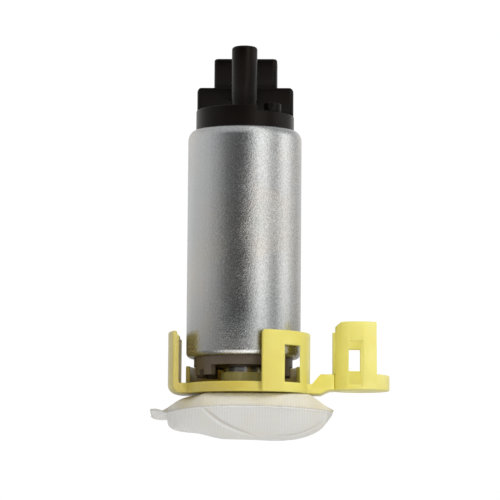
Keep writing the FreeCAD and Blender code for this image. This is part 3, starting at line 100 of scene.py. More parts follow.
class Bench:
    """Node tree of a material or a world, with short ways to add its nodes and join them."""

    def __init__(self, owner: Material | bpy.types.World, place: Place = Place.OBJECT) -> None:
        """Start with an empty tree.

        Args:
            owner: Material or world that the tree belongs to.
            place: What its patterns are fixed to.
        """
        owner.use_nodes = True
        self.owner = owner
        self.tree = owner.node_tree
        self.tree.nodes.clear()
        self.at = self.tree.nodes.new("ShaderNodeTexCoord").outputs[place.value]

    @classmethod
    def finish(cls, name: str, place: Place = Place.OBJECT) -> "Bench":
        """Start a new material."""
        return cls(bpy.data.materials.new(name), place)

    def node(self, kind: str, inputs: dict[int | str, object], **settings: object) -> bpy.types.Node:
        """Add a node.

        Args:
            kind: Type name of the node.
            inputs: What its inputs are fed with, by number or name.
            **settings: Properties of the node.

        Returns:
            The new node.
        """
        made = self.tree.nodes.new(kind)
        for name, value in settings.items():
            setattr(made, name, value)
        for name, value in inputs.items():
            self.feed(made.inputs[name], value)
        return made

    def feed(self, socket: Socket, value: object) -> None:
        """Join a socket to another one, or set its own value.

        Args:
            socket: Input that is fed.
            value: Output to join, or a number, colour or vector.
        """
        if isinstance(value, Socket):
            self.tree.links.new(value, socket)
        elif isinstance(value, tuple) and len(value) == 3 and socket.type == "RGBA":
            socket.default_value = (*value, 1.0)
        else:
            socket.default_value = value

    def stretched(self, factors: Colour) -> Socket:
        """Place that a pattern is read at, scaled along X, Y and Z."""
        return self.node("ShaderNodeMapping", {"Vector": self.at, "Scale": factors}).outputs["Vector"]

    def axis(self, name: str) -> Socket:
        """One coordinate of the place."""
        return self.node("ShaderNodeSeparateXYZ", {0: self.at}).outputs[name]

    def mark(self, name: str) -> Socket:
        """Value of a mark that the piece's own vertices carry."""
        return self.node("ShaderNodeAttribute", {}, attribute_name=name).outputs["Fac"]

    def noise(self, scale: float, detail: float = 4.0, rough: float = 0.5, at: Socket | None = None) -> Socket:
        """Clouds from about 0 to 1: how many in a metre, their finer layers and the weight of those."""
        inputs = {"Vector": at or self.at, "Scale": scale, "Detail": detail, "Roughness": rough}
        return self.node("ShaderNodeTexNoise", inputs).outputs["Fac"]

    def cells(
        self, scale: float, at: Socket | None = None, feature: str = "F1", output: str = "Distance"
    ) -> Socket:
        """Pattern of cells, with their number in a metre: a distance of theirs, or each one's own colour."""
        inputs = {"Vector": at or self.at, "Scale": scale}
        return self.node("ShaderNodeTexVoronoi", inputs, feature=feature).outputs[output]

    def bands(self, pitch: float, direction: str, waver: float) -> Socket:
        """Height from 0 to 1 of bands of an even pitch across an axis, which waver a little."""
        inputs = {"Vector": self.at, "Scale": BAND / pitch, "Distortion": waver, "Detail": 1.0}
        return self.node("ShaderNodeTexWave", inputs, bands_direction=direction).outputs["Fac"]

    def sums(self, kind: str, first: object, second: object) -> Socket:
        """Arithmetic of two numbers or outputs."""
        return self.node("ShaderNodeMath", {0: first, 1: second}, operation=kind).outputs[0]

    def spread(self, value: Socket, low: float, high: float, start: float, end: float) -> Socket:
        """Carry a value from the range of low to high to the range of start to end."""
        inputs = {"Value": value, "From Min": low, "From Max": high, "To Min": start, "To Max": end}
        return self.node("ShaderNodeMapRange", inputs).outputs["Result"]

    def mixed(self, share: object, first: object, second: object, kind: str = "MIX") -> Socket:
        """Mix a share of the second colour into the first."""
        inputs = {0: share, 6: first, 7: second}
        return self.node("ShaderNodeMix", inputs, data_type="RGBA", blend_type=kind).outputs[2]

    def ramp(self, value: Socket, stops: Sequence[Stop], smooth: bool = False) -> Socket:
        """Turn a value into a colour.

        Args:
            value: Value from 0 to 1.
            stops: Places and colours.
            smooth: Whether the colours ease into one another.

        Returns:
            The colour.
        """
        made = self.node("ShaderNodeValToRGB", {"Fac": value})
        band = made.color_ramp
        band.interpolation = "EASE" if smooth else "LINEAR"
        while len(band.elements) < len(stops):
            band.elements.new(0.5)
        for element, (place, colour) in zip(band.elements, stops):
            element.position = place
            element.color = (*colour, 1.0)
        return made.outputs["Color"]

    def relief(
        self, height: Socket, depth: float, strength: object = 1.0, under: Socket | None = None
    ) -> Socket:
        """Turn heights into a bumpy normal.

        Args:
            height: Height from 0 to 1.
            depth: Depth of the relief in metres.
            strength: Strength from 0 to 1, as a number or an output.
            under: Normal that it adds to.

        Returns:
            The normal.
        """
        inputs = {"Strength": strength, "Distance": depth, "Height": height}
        if under is not None:
            inputs["Normal"] = under
        return self.node("ShaderNodeBump", inputs).outputs["Normal"]

    def surface(self, **sockets: object) -> Material:
        """Finish the material with its shader.

        Args:
            **sockets: Values of the shader's inputs, with _ for a space.

        Returns:
            The material.
        """
        inputs = {name.replace("_", " "): value for name, value in sockets.items()}
        shader = self.node("ShaderNodeBsdfPrincipled", inputs)
        self.node("ShaderNodeOutputMaterial", {"Surface": shader.outputs["BSDF"]})
        return self.owner


@dataclass(frozen=True)
class Finish:
    """A finish that dresses pieces with one material."""

    name: str

    def material(self) -> Material:
        """Make the material."""
        raise NotImplementedError

    def dress(self, *pieces: Piece) -> None:
        """Give pieces this finish.

        Args:
            *pieces: Objects to dress.
        """
        made = bpy.data.materials.get(self.name) or self.material()
        for piece in pieces:
            piece.data.materials.clear()
            piece.data.materials.append(made)


@dataclass(frozen=True)
class PlatedSteel(Finish):
    """Zinc plate on drawn steel: fine grain, drawing streaks, faint tints and fine scratches, with painted
    shade that darkens it towards the bottom and painted light towards the top.
    """

    grain: float = 1600.0
    grain_depth: float = 0.00011
    warp_depth: float = 0.00005
    streak_depth: float = 0.000012
    roughness: float = 0.18
    # Roughness added near the bottom
    dulled: float = 0.09
    # X where the grain starts and where it is full
    smooth_side: float = -0.014
    grainy_side: float = 0.002
    half: float = 0.0381
    scratched: Colour = (0.42, 0.42, 0.42)
    tints: tuple[Stop, ...] = (
        (0.3, (0.63, 0.655, 0.665)),
        (0.48, (0.66, 0.665, 0.66)),
        (0.58, (0.69, 0.665, 0.635)),
        (0.72, (0.66, 0.67, 0.645)),
    )
    greys: tuple[Stop, ...] = ((0.3, (0.74, 0.74, 0.74)), (0.5, (1.0, 1.0, 1.0)), (0.7, (1.22, 1.22, 1.22)))
    lines: tuple[Stop, ...] = ((0.25, (0.96, 0.96, 0.96)), (0.7, (1.03, 1.03, 1.03)))
    # Painted shade and painted light from the bottom to the top: darker at the bottom, lighter at the top
    fade: tuple[Stop, ...] = (
        (0.0, (0.66, 0.655, 0.645)),
        (0.17, (0.8, 0.795, 0.785)),
        (0.35, (0.93, 0.93, 0.925)),
        (0.62, (0.98, 0.98, 0.98)),
        (0.85, (1.04, 1.04, 1.04)),
        (1.0, (1.08, 1.08, 1.08)),
    )

    def material(self) -> Material:
        """Make the material.

        Returns:
            The material.
        """
        bench = Bench.finish(self.name)
        grain = bench.noise(self.grain, 3.0, 0.75)
        grainy = bench.spread(bench.axis("X"), self.smooth_side, self.grainy_side, 0.15, 1.0)
        rising = bench.spread(bench.axis("Z"), -self.half, self.half, 0.0, 1.0)
        streaks = bench.noise(1.0, 5.0, 0.6, bench.stretched((900.0, 900.0, 14.0)))
        tint = bench.ramp(bench.noise(38.0, 3.0), self.tints, smooth=True)
        base = bench.mixed(grainy, tint, bench.ramp(grain, self.greys), "MULTIPLY")
        # Painted shade towards the bottom and painted light towards the top
        base = bench.mixed(1.0, base, bench.ramp(rising, self.fade), "MULTIPLY")
        base = bench.mixed(1.0, base, bench.ramp(streaks, self.lines), "MULTIPLY")
        webs = bench.cells(1.0, bench.stretched((70.0, 70.0, 900.0)), "DISTANCE_TO_EDGE")
        patch = bench.spread(bench.noise(90.0, 2.0), 0.56, 0.66, 0.0, 1.0)
        scratch = bench.sums("MULTIPLY", bench.spread(webs, 0.0, 0.018, 1.0, 0.0), patch)
        base = bench.mixed(bench.sums("MULTIPLY", scratch, 0.35), base, self.scratched)
        worn = bench.spread(grain, 0.3, 0.7, self.roughness - 0.03, self.roughness + 0.04)
        worn = bench.sums("ADD", worn, bench.spread(rising, 0.05, 0.2, self.dulled, 0.0))
        rough = bench.sums("ADD", worn, bench.sums("MULTIPLY", scratch, 0.12))
        glitter = bench.spread(bench.noise(45.0, 3.0), 0.38, 0.6, 0.5, 1.0)
        normal = bench.relief(bench.noise(420.0, 3.0), self.warp_depth, 0.2)
        normal = bench.relief(grain, self.grain_depth, glitter, normal)
        normal = bench.relief(streaks, self.streak_depth, 0.6, normal)
        return bench.surface(Base_Color=base, Metallic=1.0, Roughness=rough, Normal=normal)


@dataclass(frozen=True)
class MouldedPlastic(Finish):
    """Opaque moulded plastic with a fine eroded texture and faint speckles."""

    tone: Colour
    light: Colour
    roughness: float
    grain: float
    depth: float
    speckle: float = 0.0
    shine: float = 0.5
    cast: Colour = (1.0, 1.0, 1.0)
    flow_depth: float = 0.00005

    def material(self) -> Material:
        """Make the material.

        Returns:
            The material.
        """
        bench = Bench.finish(self.name)
        clouds = bench.noise(160.0, 4.0, 0.6)
        base = bench.mixed(bench.spread(clouds, 0.35, 0.7, 0.0, 1.0), self.tone, self.light)
        grain = bench.noise(self.grain, 3.0, 0.6)
        if self.speckle > 0:
            dots = bench.spread(bench.noise(self.grain * 0.6, 2.0, 0.7), 0.6, 0.72, 0.0, self.speckle)
            base = bench.mixed(dots, base, tuple(min(1.0, part * 2.2 + 0.02) for part in self.tone))
        flow = bench.noise(1.0, 4.0, 0.5, bench.stretched((120.0, 120.0, 30.0)))
        fine = bench.spread(grain, 0.3, 0.7, self.roughness - 0.05, self.roughness + 0.07)
        rough = bench.sums("ADD", fine, bench.spread(flow, 0.4, 0.7, 0.0, 0.06))
        normal = bench.relief(flow, self.flow_depth, 0.3, bench.relief(grain, self.depth, 0.7))
        return bench.surface(
            Base_Color=base,
            Roughness=rough,
            Normal=normal,
            Specular_IOR_Level=self.shine,
            Specular_Tint=self.cast,
        )


@dataclass(frozen=True)
class ClearPlastic(Finish):
    """Translucent moulded plastic: light goes some way in, and painted shade and painted light change its
    colour along X.
    """

    tone: Colour
    deep: Colour
    roughness: float
    inside: float
    reach: Colour
    depth: float
    clear: float
    # X where the painted shade and painted light along X start and end, and the painted change itself
    start: float = -0.026
    end: float = 0.05
    along: tuple[Stop, ...] = ()
    flow_depth: float = 0.00008
    refraction: float = 1.5

    def material(self) -> Material:
        """Make the material.

        Returns:
            The material.
        """
        bench = Bench.finish(self.name)
        clouds = bench.noise(70.0, 3.0, 0.55)
        flow = bench.noise(1.0, 4.0, 0.5, bench.stretched((260.0, 260.0, 40.0)))
        base = bench.mixed(bench.spread(clouds, 0.35, 0.7, 0.0, 1.0), self.tone, self.deep)
        base = bench.mixed(bench.spread(flow, 0.4, 0.75, 0.0, 0.3), base, self.deep)
        # Painted shade and painted light along X, multiplied into the colour
        if self.along:
            place = bench.spread(bench.axis("X"), self.start, self.end, 0.0, 1.0)
            base = bench.mixed(1.0, base, bench.ramp(place, self.along), "MULTIPLY")
        grain = bench.noise(1900.0, 3.0, 0.55)
        return bench.surface(
            Base_Color=base,
            Roughness=bench.spread(grain, 0.3, 0.7, self.roughness - 0.01, self.roughness + 0.02),
            Normal=bench.relief(flow, self.flow_depth, 0.3),
            Subsurface_Weight=self.inside,
            Subsurface_Radius=self.reach,
            Subsurface_Scale=self.depth,
            Transmission_Weight=self.clear,
            IOR=self.refraction,
        )


@dataclass(frozen=True)
class WovenMesh(Finish):
    """Fine woven nylon: threads both ways, a soft sheen, and what its vertices mark: painted shadow in the
    folds' furrows, painted highlights on their ridges, painted yellow shade under the bracket, and the rim.
    """

    tone: Colour = (0.80, 0.79, 0.76)
    stain: Colour = (0.79, 0.76, 0.67)
    seam: Colour = (0.9, 0.9, 0.89)
    # Colour of the painted yellow shade under the bracket
    shade: Colour = (0.46, 0.36, 0.1)
    hole: Colour = (0.42, 0.4, 0.36)
    thread: Colour = (0.62, 0.6, 0.56)
    # Colours of the painted shadow in a fold's furrow and the painted highlight on its ridge
    furrow: Colour = (0.46, 0.41, 0.34)
    ridge: Colour = (0.95, 0.95, 0.94)
    pitch: float = 0.0005
    weave_depth: float = 0.00008
    warp_depth: float = 0.0003
    inside_depth: float = 0.0015

    def material(self) -> Material:
        """Make the material.

        Returns:
            The material.
        """
        bench = Bench.finish(self.name, Place.UV)
        weave = bench.sums("MAXIMUM", bench.bands(self.pitch, "X", 0.4), bench.bands(self.pitch, "Y", 0.4))
        holes = bench.sums("SUBTRACT", 1.0, weave)
        clouds = bench.noise(55.0, 4.0, 0.6)
        base = bench.mixed(bench.spread(clouds, 0.42, 0.66, 0.0, 1.0), self.tone, self.stain)
        base = bench.mixed(bench.sums("MULTIPLY", holes, 0.55), base, self.hole)
        threads = bench.noise(1.0, 3.0, 0.6, bench.stretched((2400.0, 160.0, 1.0)))
        base = bench.mixed(bench.spread(threads, 0.4, 0.75, 0.0, 0.12), base, self.thread)
        # Painted shadow in the furrows, painted highlights on the ridges and painted yellow shade, then the rim
        for mark, low, high, share, colour in (
            ("furrow", 0.0, 1.0, 0.55, self.furrow),
            ("ridge", 0.0, 1.0, 0.6, self.ridge),
            ("painted_yellow_shade", 0.0, 1.0, 0.75, self.shade),
            ("rim", 0.45, 0.9, 0.38, self.seam),
        ):
            base = bench.mixed(bench.spread(bench.mark(mark), low, high, 0.0, share), base, colour)
        normal = bench.relief(bench.noise(260.0, 3.0, 0.5), self.warp_depth, 0.25)
        return bench.surface(
            Base_Color=base,
            Roughness=0.62,
            Normal=bench.relief(weave, self.weave_depth, 0.9, normal),
            Sheen_Weight=0.25,
            Sheen_Roughness=0.5,
            Subsurface_Weight=0.3,
            Subsurface_Radius=(1.0, 0.95, 0.85),
            Subsurface_Scale=self.inside_depth,
            Specular_IOR_Level=0.35,
        )


@dataclass(frozen=True)
class WorkedMetal(Finish):
    """Bare metal with turning or drawing lines along one axis."""

    tone: Colour = (0.62, 0.62, 0.63)
    dull: Colour = (0.5, 0.5, 0.51)
    roughness: float = 0.24
    lines: Colour = (60.0, 60.0, 4000.0)
    depth: float = 0.000008

    def material(self) -> Material:
        """Make the material.

        Returns:
            The material.
        """
        bench = Bench.finish(self.name)
        clouds = bench.noise(240.0, 4.0, 0.6)
        base = bench.mixed(bench.spread(clouds, 0.4, 0.68, 0.0, 1.0), self.tone, self.dull)
        turned = bench.noise(1.0, 4.0, 0.6, bench.stretched(self.lines))
        rough = bench.spread(turned, 0.3, 0.7, self.roughness - 0.05, self.roughness + 0.08)
        normal = bench.relief(turned, self.depth, 0.7)
        return bench.surface(Base_Color=base, Metallic=1.0, Roughness=rough, Normal=normal)


@dataclass(frozen=True)
class PressedPowder(Finish):
    """Pressed or sintered powder: grains, pores and a dull sheen."""

    tone: Colour = (0.035, 0.035, 0.038)
    grain_tone: Colour = (0.09, 0.09, 0.095)
    metallic: float = 0.3
    roughness: float = 0.55
    grains: float = 5200.0
    pore_depth: float = 0.00004

    def material(self) -> Material:
        """Make the material.

        Returns:
            The material.
        """
        bench = Bench.finish(self.name)
        part = bench.node("ShaderNodeSeparateColor", {0: bench.cells(self.grains, output="Color")}).outputs[0]
        base = bench.mixed(bench.spread(part, 0.5, 1.0, 0.0, 1.0), self.tone, self.grain_tone)
        pores = bench.noise(2600.0, 3.0, 0.7)
        rough = bench.spread(pores, 0.3, 0.7, self.roughness - 0.1, self.roughness + 0.1)
        normal = bench.relief(pores, self.pore_depth, 0.7)
        return bench.surface(Base_Color=base, Metallic=self.metallic, Roughness=rough, Normal=normal)


@dataclass(frozen=True)
class StackedSheet(Finish):
    """Stack of punched steel sheets: a fine line between each two, and faint rust."""

    tone: Colour = (0.3, 0.3, 0.31)
    edge: Colour = (0.12, 0.11, 0.11)
    rust: Colour = (0.22, 0.17, 0.13)
    pitch: float = 0.0005
    depth: float = 0.00006

    def material(self) -> Material:
        """Make the material.

        Returns:
            The material.
        """
        bench = Bench.finish(self.name)
        sheets = bench.bands(self.pitch, "Z", 0.1)
        base = bench.mixed(bench.spread(sheets, 0.0, 0.3, 1.0, 0.0), self.tone, self.edge)
        base = bench.mixed(bench.spread(bench.noise(700.0, 3.0), 0.55, 0.7, 0.0, 0.4), base, self.rust)
        normal = bench.relief(sheets, self.depth, 0.6)
        return bench.surface(Base_Color=base, Metallic=0.9, Roughness=0.42, Normal=normal)


@dataclass(frozen=True)
class WoundWire(Finish):
    """Lacquered copper wire laid side by side."""

    tone: Colour = (0.62, 0.25, 0.11)
    gap: Colour = (0.2, 0.06, 0.025)
    pitch: float = 0.0006
    depth: float = 0.00012

    def material(self) -> Material:
        """Make the material.

        Returns:
            The material.
        """
        bench = Bench.finish(self.name)
        wires = bench.bands(self.pitch, "Z", 0.6)
        base = bench.mixed(bench.spread(wires, 0.0, 0.45, 1.0, 0.0), self.tone, self.gap)
        rough = bench.spread(bench.noise(900.0, 3.0), 0.3, 0.7, 0.2, 0.36)
        normal = bench.relief(wires, self.depth, 0.8)
        return bench.surface(Base_Color=base, Metallic=0.85, Roughness=rough, Normal=normal, Coat_Weight=0.4)


ZINC = PlatedSteel("zinc plated steel")
BLACK = MouldedPlastic(
    "black moulding",
    (0.0016, 0.0009, 0.0007),
    (0.0028, 0.0018, 0.0015),
    roughness=0.25,
    grain=2600.0,
    depth=0.000012,
    shine=0.2,
    cast=(1.0, 0.88, 0.8),
)
BROWN = MouldedPlastic(
    "brown moulding", (0.085, 0.062, 0.042), (0.11, 0.082, 0.056), 0.42, 1900.0, 0.00003, speckle=0.35
)
CHAMBER = MouldedPlastic(
    "chamber moulding", (0.02, 0.019, 0.018), (0.04, 0.037, 0.033), 0.5, 2100.0, 0.00003, speckle=0.5
)
RUBBER = MouldedPlastic("valve rubber", (0.018, 0.018, 0.018), (0.03, 0.03, 0.03), 0.62, 1500.0, 0.00003)
YELLOW = ClearPlastic(
    "yellow moulding",
    (0.82, 0.77, 0.255),
    (0.77, 0.70, 0.185),
    roughness=0.3,
    inside=0.4,
    reach=(1.0, 0.86, 0.3),
    depth=0.0035,
    clear=0.0,
    # Painted shade on the post and the plate, towards -X, and painted light on the hook and the tower, towards
    # +X
    along=(
        (0.0, (0.72, 0.66, 0.72)),
        (0.1, (0.68, 0.61, 0.5)),
        (0.25, (0.66, 0.58, 0.42)),
        (0.38, (0.72, 0.64, 0.38)),
        (0.48, (0.84, 0.79, 0.62)),
        (0.7, (0.92, 0.9, 0.72)),
        (0.76, (0.98, 0.96, 0.84)),
        (0.88, (0.93, 0.92, 0.95)),
        (1.0, (0.9, 0.89, 1.1)),
    ),
)
NATURAL = ClearPlastic(
    "natural moulding",
    (0.58, 0.5, 0.17),
    (0.48, 0.4, 0.12),
    roughness=0.16,
    inside=0.3,
    reach=(0.9, 0.85, 0.6),
    depth=0.0015,
    clear=0.15,
)
NYLON = WovenMesh("nylon mesh")
CREAM_NYLON = WovenMesh("nylon mesh upper side", (0.77, 0.73, 0.62), (0.73, 0.66, 0.47), (0.48, 0.48, 0.46))
STEEL = WorkedMetal("bright steel")
SPRING_WIRE = WorkedMetal("spring wire", (0.58, 0.58, 0.59), (0.44, 0.44, 0.45), 0.3, (900.0, 900.0, 900.0))
BRASS = WorkedMetal("tinned brass", (0.72, 0.62, 0.42), (0.58, 0.5, 0.36), 0.28, (60.0, 2500.0, 60.0))
COPPER = WorkedMetal("copper segments", (0.72, 0.38, 0.22), (0.5, 0.24, 0.14), 0.3, (1200.0, 1200.0, 90.0))
BRONZE = PressedPowder("sintered bronze", (0.4, 0.26, 0.12), (0.6, 0.42, 0.22), 0.9, 0.45)
FERRITE = PressedPowder("ferrite")
CARBON = PressedPowder("pressed carbon", (0.03, 0.03, 0.03), (0.1, 0.075, 0.06), 0.4, 0.5)
LAMINATION = StackedSheet("laminated core")
WINDING = WoundWire("copper winding")
BRAID = WoundWire("copper braid", pitch=0.0003)


def within(value: float) -> float:
    """Keep a value between 0 and 1."""
    return min(1.0, max(0.0, value))


def eased(part: float) -> float:
    """Ease a share between 0 and 1 in and out."""
    return part * part * (3 - 2 * part)


def finished(name: str, mesh: Mesh, smooth: bool = True) -> Piece:
    """Turn a bmesh into an object at the origin.

    Args:
        name: Name of the piece.
        mesh: Its shape, which is freed.
        smooth: Whether its faces are shaded smooth.

    Returns:
        The new object.
    """
    for face in mesh.faces:
        face.smooth = smooth
    data = bpy.data.meshes.new(name)
    mesh.to_mesh(data)
    mesh.free()
    made = bpy.data.objects.new(name, data)
    bpy.context.scene.collection.objects.link(made)
    return made


def settled(piece: Piece, node: str, finish: Finish) -> Piece:
    """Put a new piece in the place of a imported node, on the pump, and dress it.

    Args:
        piece: The piece.
        node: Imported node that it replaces.
        finish: Its finish.

    Returns:
        The piece.
    """
    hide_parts(node)
    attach(piece, Body.PUMP.value)
    finish.dress(piece)
    return piece


def arc(centre: Flat, radius: float, start: float, end: float, steps: int) -> list[Flat]:
    """Points along an arc in the plane of a profile.

    Args:
        centre: Centre of the arc.
        radius: Its radius.
        start: First angle in degrees.
        end: Last angle in degrees.
        steps: Number of runs.

    Returns:
        The points.
    """
    angles = [math.radians(start + (end - start) * step / steps) for step in range(steps + 1)]
    return [(centre[0] + radius * math.cos(angle), centre[1] + radius * math.sin(angle)) for angle in angles]


def turned(name: str, profile: Iterable[Flat], steps: int = 192) -> Piece:
    """Spin a closed profile of radius and height once round Z.

    Args:
        name: Name of the piece.
        profile: Corners of the profile in metres.
        steps: Number of facets.

    Returns:
        The turned piece.
    """
    mesh = bmesh.new()
    spots = [mesh.verts.new((radius, 0.0, height)) for radius, height in profile]
    edges = [mesh.edges.new((spots[index - 1], spots[index])) for index in range(len(spots))]
    bmesh.ops.spin(
        mesh,
        geom=spots + edges,
        axis=(0, 0, 1),
        cent=(0, 0, 0),
        steps=steps,
        angle=2 * math.pi,
        use_merge=True,
    )
    bmesh.ops.remove_doubles(mesh, verts=mesh.verts, dist=SAME)
    bmesh.ops.recalc_face_normals(mesh, faces=mesh.faces)
    return finished(name, mesh)


def bevelled(mesh: Mesh, edges: list[bmesh.types.BMEdge], width: float, segments: int, held: bool) -> None:
    """Round edges.

    Args:
        mesh: Mesh that has them.
        edges: The edges.
        width: Width of the rounding in metres.
        segments: Facets of the rounding.
        held: Whether it stops where two roundings meet.
    """
    bmesh.ops.bevel(
        mesh,
        geom=edges,
        offset=width,
        offset_type="OFFSET",
        affect="EDGES",
        segments=segments,
        profile=0.5,
        clamp_overlap=held,
        material=-1,
    )


@dataclass(frozen=True)
class Corner:
    """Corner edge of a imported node, known by its middle in millimetres, with a larger radius."""

    middle: Spot
    radius: float
    near: float = 0.3 * MM
    segments: int = 5

    def round_off(self, mesh: Mesh) -> None:
        """Round the corner.

        Args:
            mesh: Mesh that has it.
        """
        place = Vector(self.middle) * MM
        away = {edge: (edge.verts[0].co + edge.verts[1].co) / 2 - place for edge in mesh.edges}
        found = [edge for edge, gap in away.items() if gap.length < self.near]
        if not found:
            LOG.warning("No corner at %s", self.middle)
            return
        bevelled(mesh, found, self.radius, self.segments, held=True)


@dataclass(frozen=True)
class Easing:
    """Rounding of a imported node's outer edges."""

    width: float
    corners: tuple[Corner, ...] = ()
    segments: int = 3
    # Degrees up to which two faces are one, and over which their edge is rounded
    level: float = 0.3
    turn: float = 28.0
    # Times the width that the faces beside an edge must reach
    room: float = 1.3
    # Share of the width beyond which a vertex has strayed from the surface
    stray: float = 0.45

    def edges(self, mesh: Mesh) -> list[bmesh.types.BMEdge]:
        """Edges that have the turn and the room to be rounded.

        Args:
            mesh: Mesh that has them.

        Returns:
            The edges.
        """
        least, room = math.radians(self.turn), self.room * self.width
        convex = [edge for edge in mesh.edges if edge.is_manifold and edge.is_convex]
        return [
            edge
            for edge in convex
            if edge.calc_face_angle() > least
            and all(face.calc_area() > room * edge.calc_length() for face in edge.link_faces)
        ]

    def copy(self, name: str, node: str) -> Piece:
        """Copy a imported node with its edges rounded.

        Args:
            name: Name of the piece.
            node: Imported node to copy.

        Returns:
            The new piece.
        """
        mesh = bmesh.new()
        mesh.from_mesh(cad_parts[node].data)
        bmesh.ops.remove_doubles(mesh, verts=mesh.verts, dist=NEAR_SAME)
        level = math.radians(self.level)
        bmesh.ops.dissolve_limit(mesh, angle_limit=level, verts=mesh.verts, edges=mesh.edges)
        bmesh.ops.recalc_face_normals(mesh, faces=mesh.faces)
        for corner in self.corners:
            corner.round_off(mesh)
        before = BVHTree.FromBMesh(mesh)
        bevelled(mesh, self.edges(mesh), self.width, self.segments, held=False)
        for spot in mesh.verts:
            nearest, _, _, away = before.find_nearest(spot.co)
            if away > self.stray * self.width:
                spot.co = nearest
        bmesh.ops.remove_doubles(mesh, verts=mesh.verts, dist=EASED_SAME)
        piece = finished(name, mesh)
        for edge in piece.data.edges:
            edge.use_edge_sharp = False
        return piece


@dataclass
class Can:
    """Drawn steel can with its ends rolled in."""

    radius: float = 19.0 * MM
    half: float = 38.1 * MM
    wall: float = 1.6 * MM
    lip: float = 16.6 * MM
    shoulder: float = 3.4 * MM
    heel: float = 1.8 * MM
    lip_thickness: float = 1.8 * MM

    def profile(self) -> list[Flat]:
        """Section of the wall, from the heel up the outside and back down the inside.

        Returns:
            Its corners, as radius and height.
        """
        heel_centre = (self.radius - self.heel, -self.half + self.heel)
        run = self.radius - self.lip
        shoulder = [
            (self.lip + run * math.cos(angle), self.half - self.shoulder * (1 - math.sin(angle)))
            for angle in map(math.radians, range(0, 91, 6))
        ]
        bore = self.radius - self.wall
        inner_run = bore - self.lip
        inner_height = self.shoulder - self.lip_thickness
        base = self.half - self.shoulder
        inside = [
            (self.lip + inner_run * math.cos(angle), base + inner_height * math.sin(angle))
            for angle in map(math.radians, range(90, -1, -15))
        ]
        return [
            *arc(heel_centre, self.heel, -90, 0, 12),
            *shoulder,
            *inside,
            (bore, -self.half + self.wall),
            (self.lip, -self.half + self.wall),
            (self.lip, -self.half),
        ]

    def build(self) -> list[Piece]:
        """Build and dress the can."""
        return [settled(turned("can_shell", self.profile()), "can", ZINC)]


@dataclass
class EndCap:
    """Black outlet cap with its edges eased."""

    easing: Easing = Easing(0.35 * MM)

    def build(self) -> list[Piece]:
        """Build and dress the cap."""
        return [settled(self.easing.copy("cap_moulding", "end_cap"), "end_cap", BLACK)]


@dataclass
class Bracket:
    """Yellow bracket with its edges eased, and the upper corners of its hook and post rounder."""

    easing: Easing = Easing(
        0.4 * MM,
        (
            Corner((6.66, -20.5, -29.8), 1.7 * MM),
            Corner((21.54, -0.75, -29.8), 1.5 * MM),
            Corner((-22.02, -10.27, -29.6), 1.0 * MM),
            Corner((-22.02, 10.27, -29.6), 1.0 * MM),
        ),
    )

    def build(self) -> list[Piece]:
        """Build and dress the bracket."""
        moulding = self.easing.copy("bracket_moulding", "bracket")
        return [settled(moulding, "bracket", YELLOW)]


def share_at(run: Run, place: float) -> float:
    """Share at a place of a run, eased between its points without overshooting them.

    Args:
        run: Places and shares, in order.
        place: Place to read.

    Returns:
        The share.
    """
    if place <= run[0][0]:
        return run[0][1]
    if place >= run[-1][0]:
        return run[-1][1]
    after = next(number for number in range(1, len(run)) if place <= run[number][0])
    rises = [(high - low) / (end - start) for (start, low), (end, high) in zip(run, run[1:])]

    def slope(number: int) -> float:
        """Slope of the run at one of its points."""
        before, behind = rises[max(0, number - 1)], rises[min(len(rises) - 1, number)]
        return 0.0 if before * behind <= 0 else 2 * before * behind / (before + behind)

    (start, low), (end, high) = run[after - 1], run[after]
    span = end - start
    part = (place - start) / span
    leave = part * (1 - part) ** 2 * span * slope(after - 1)
    arrive = part * part * (1 - part) * span * slope(after)
    return low + (high - low) * eased(part) + leave - arrive


@dataclass(frozen=True)
class Fold:
    """Fold that the cloth keeps: a ridge with a furrow on its right-hand side."""

    start: Flat
    end: Flat
    ridge: float
    ridge_width: float
    furrow: float
    furrow_width: float
    bow: float = 0.0
    fading: float = 0.6

    def shares(self, x: float, y: float) -> Flat:
        """How much of the ridge and of the furrow a place has.

        Args:
            x: The place's X.
            y: The place's Y.

        Returns:
            The two shares, each from 0 to 1.
        """
        along = Vector(self.end) - Vector(self.start)
        away = Vector((x, y)) - Vector(self.start)
        part = away.dot(along) / along.length_squared
        if not 0.0 < part < 1.0:
            return 0.0, 0.0
        side = (along.x * away.y - along.y * away.x) / along.length + 4 * self.bow * part * (1 - part)
        fade = math.sin(math.pi * part) ** self.fading
        ridge = fade * math.exp(-((side / self.ridge_width) ** 2))
        furrow = fade * math.exp(-(((side + self.furrow_width) / self.furrow_width) ** 2))
        return ridge, furrow

    def lift(self, x: float, y: float) -> float:
        """How far the fold lifts the cloth at a place, in metres: up in the furrow, down on the ridge."""
        ridge, furrow = self.shares(x, y)
        return self.furrow * furrow - self.ridge * ridge


# How the upper side of the bag falls off at its right end
RIGHT_END: Run = ((0.7, 1.0), (0.77, 0.8), (0.84, 0.53), (0.91, 0.25), (1.0, 0.0))


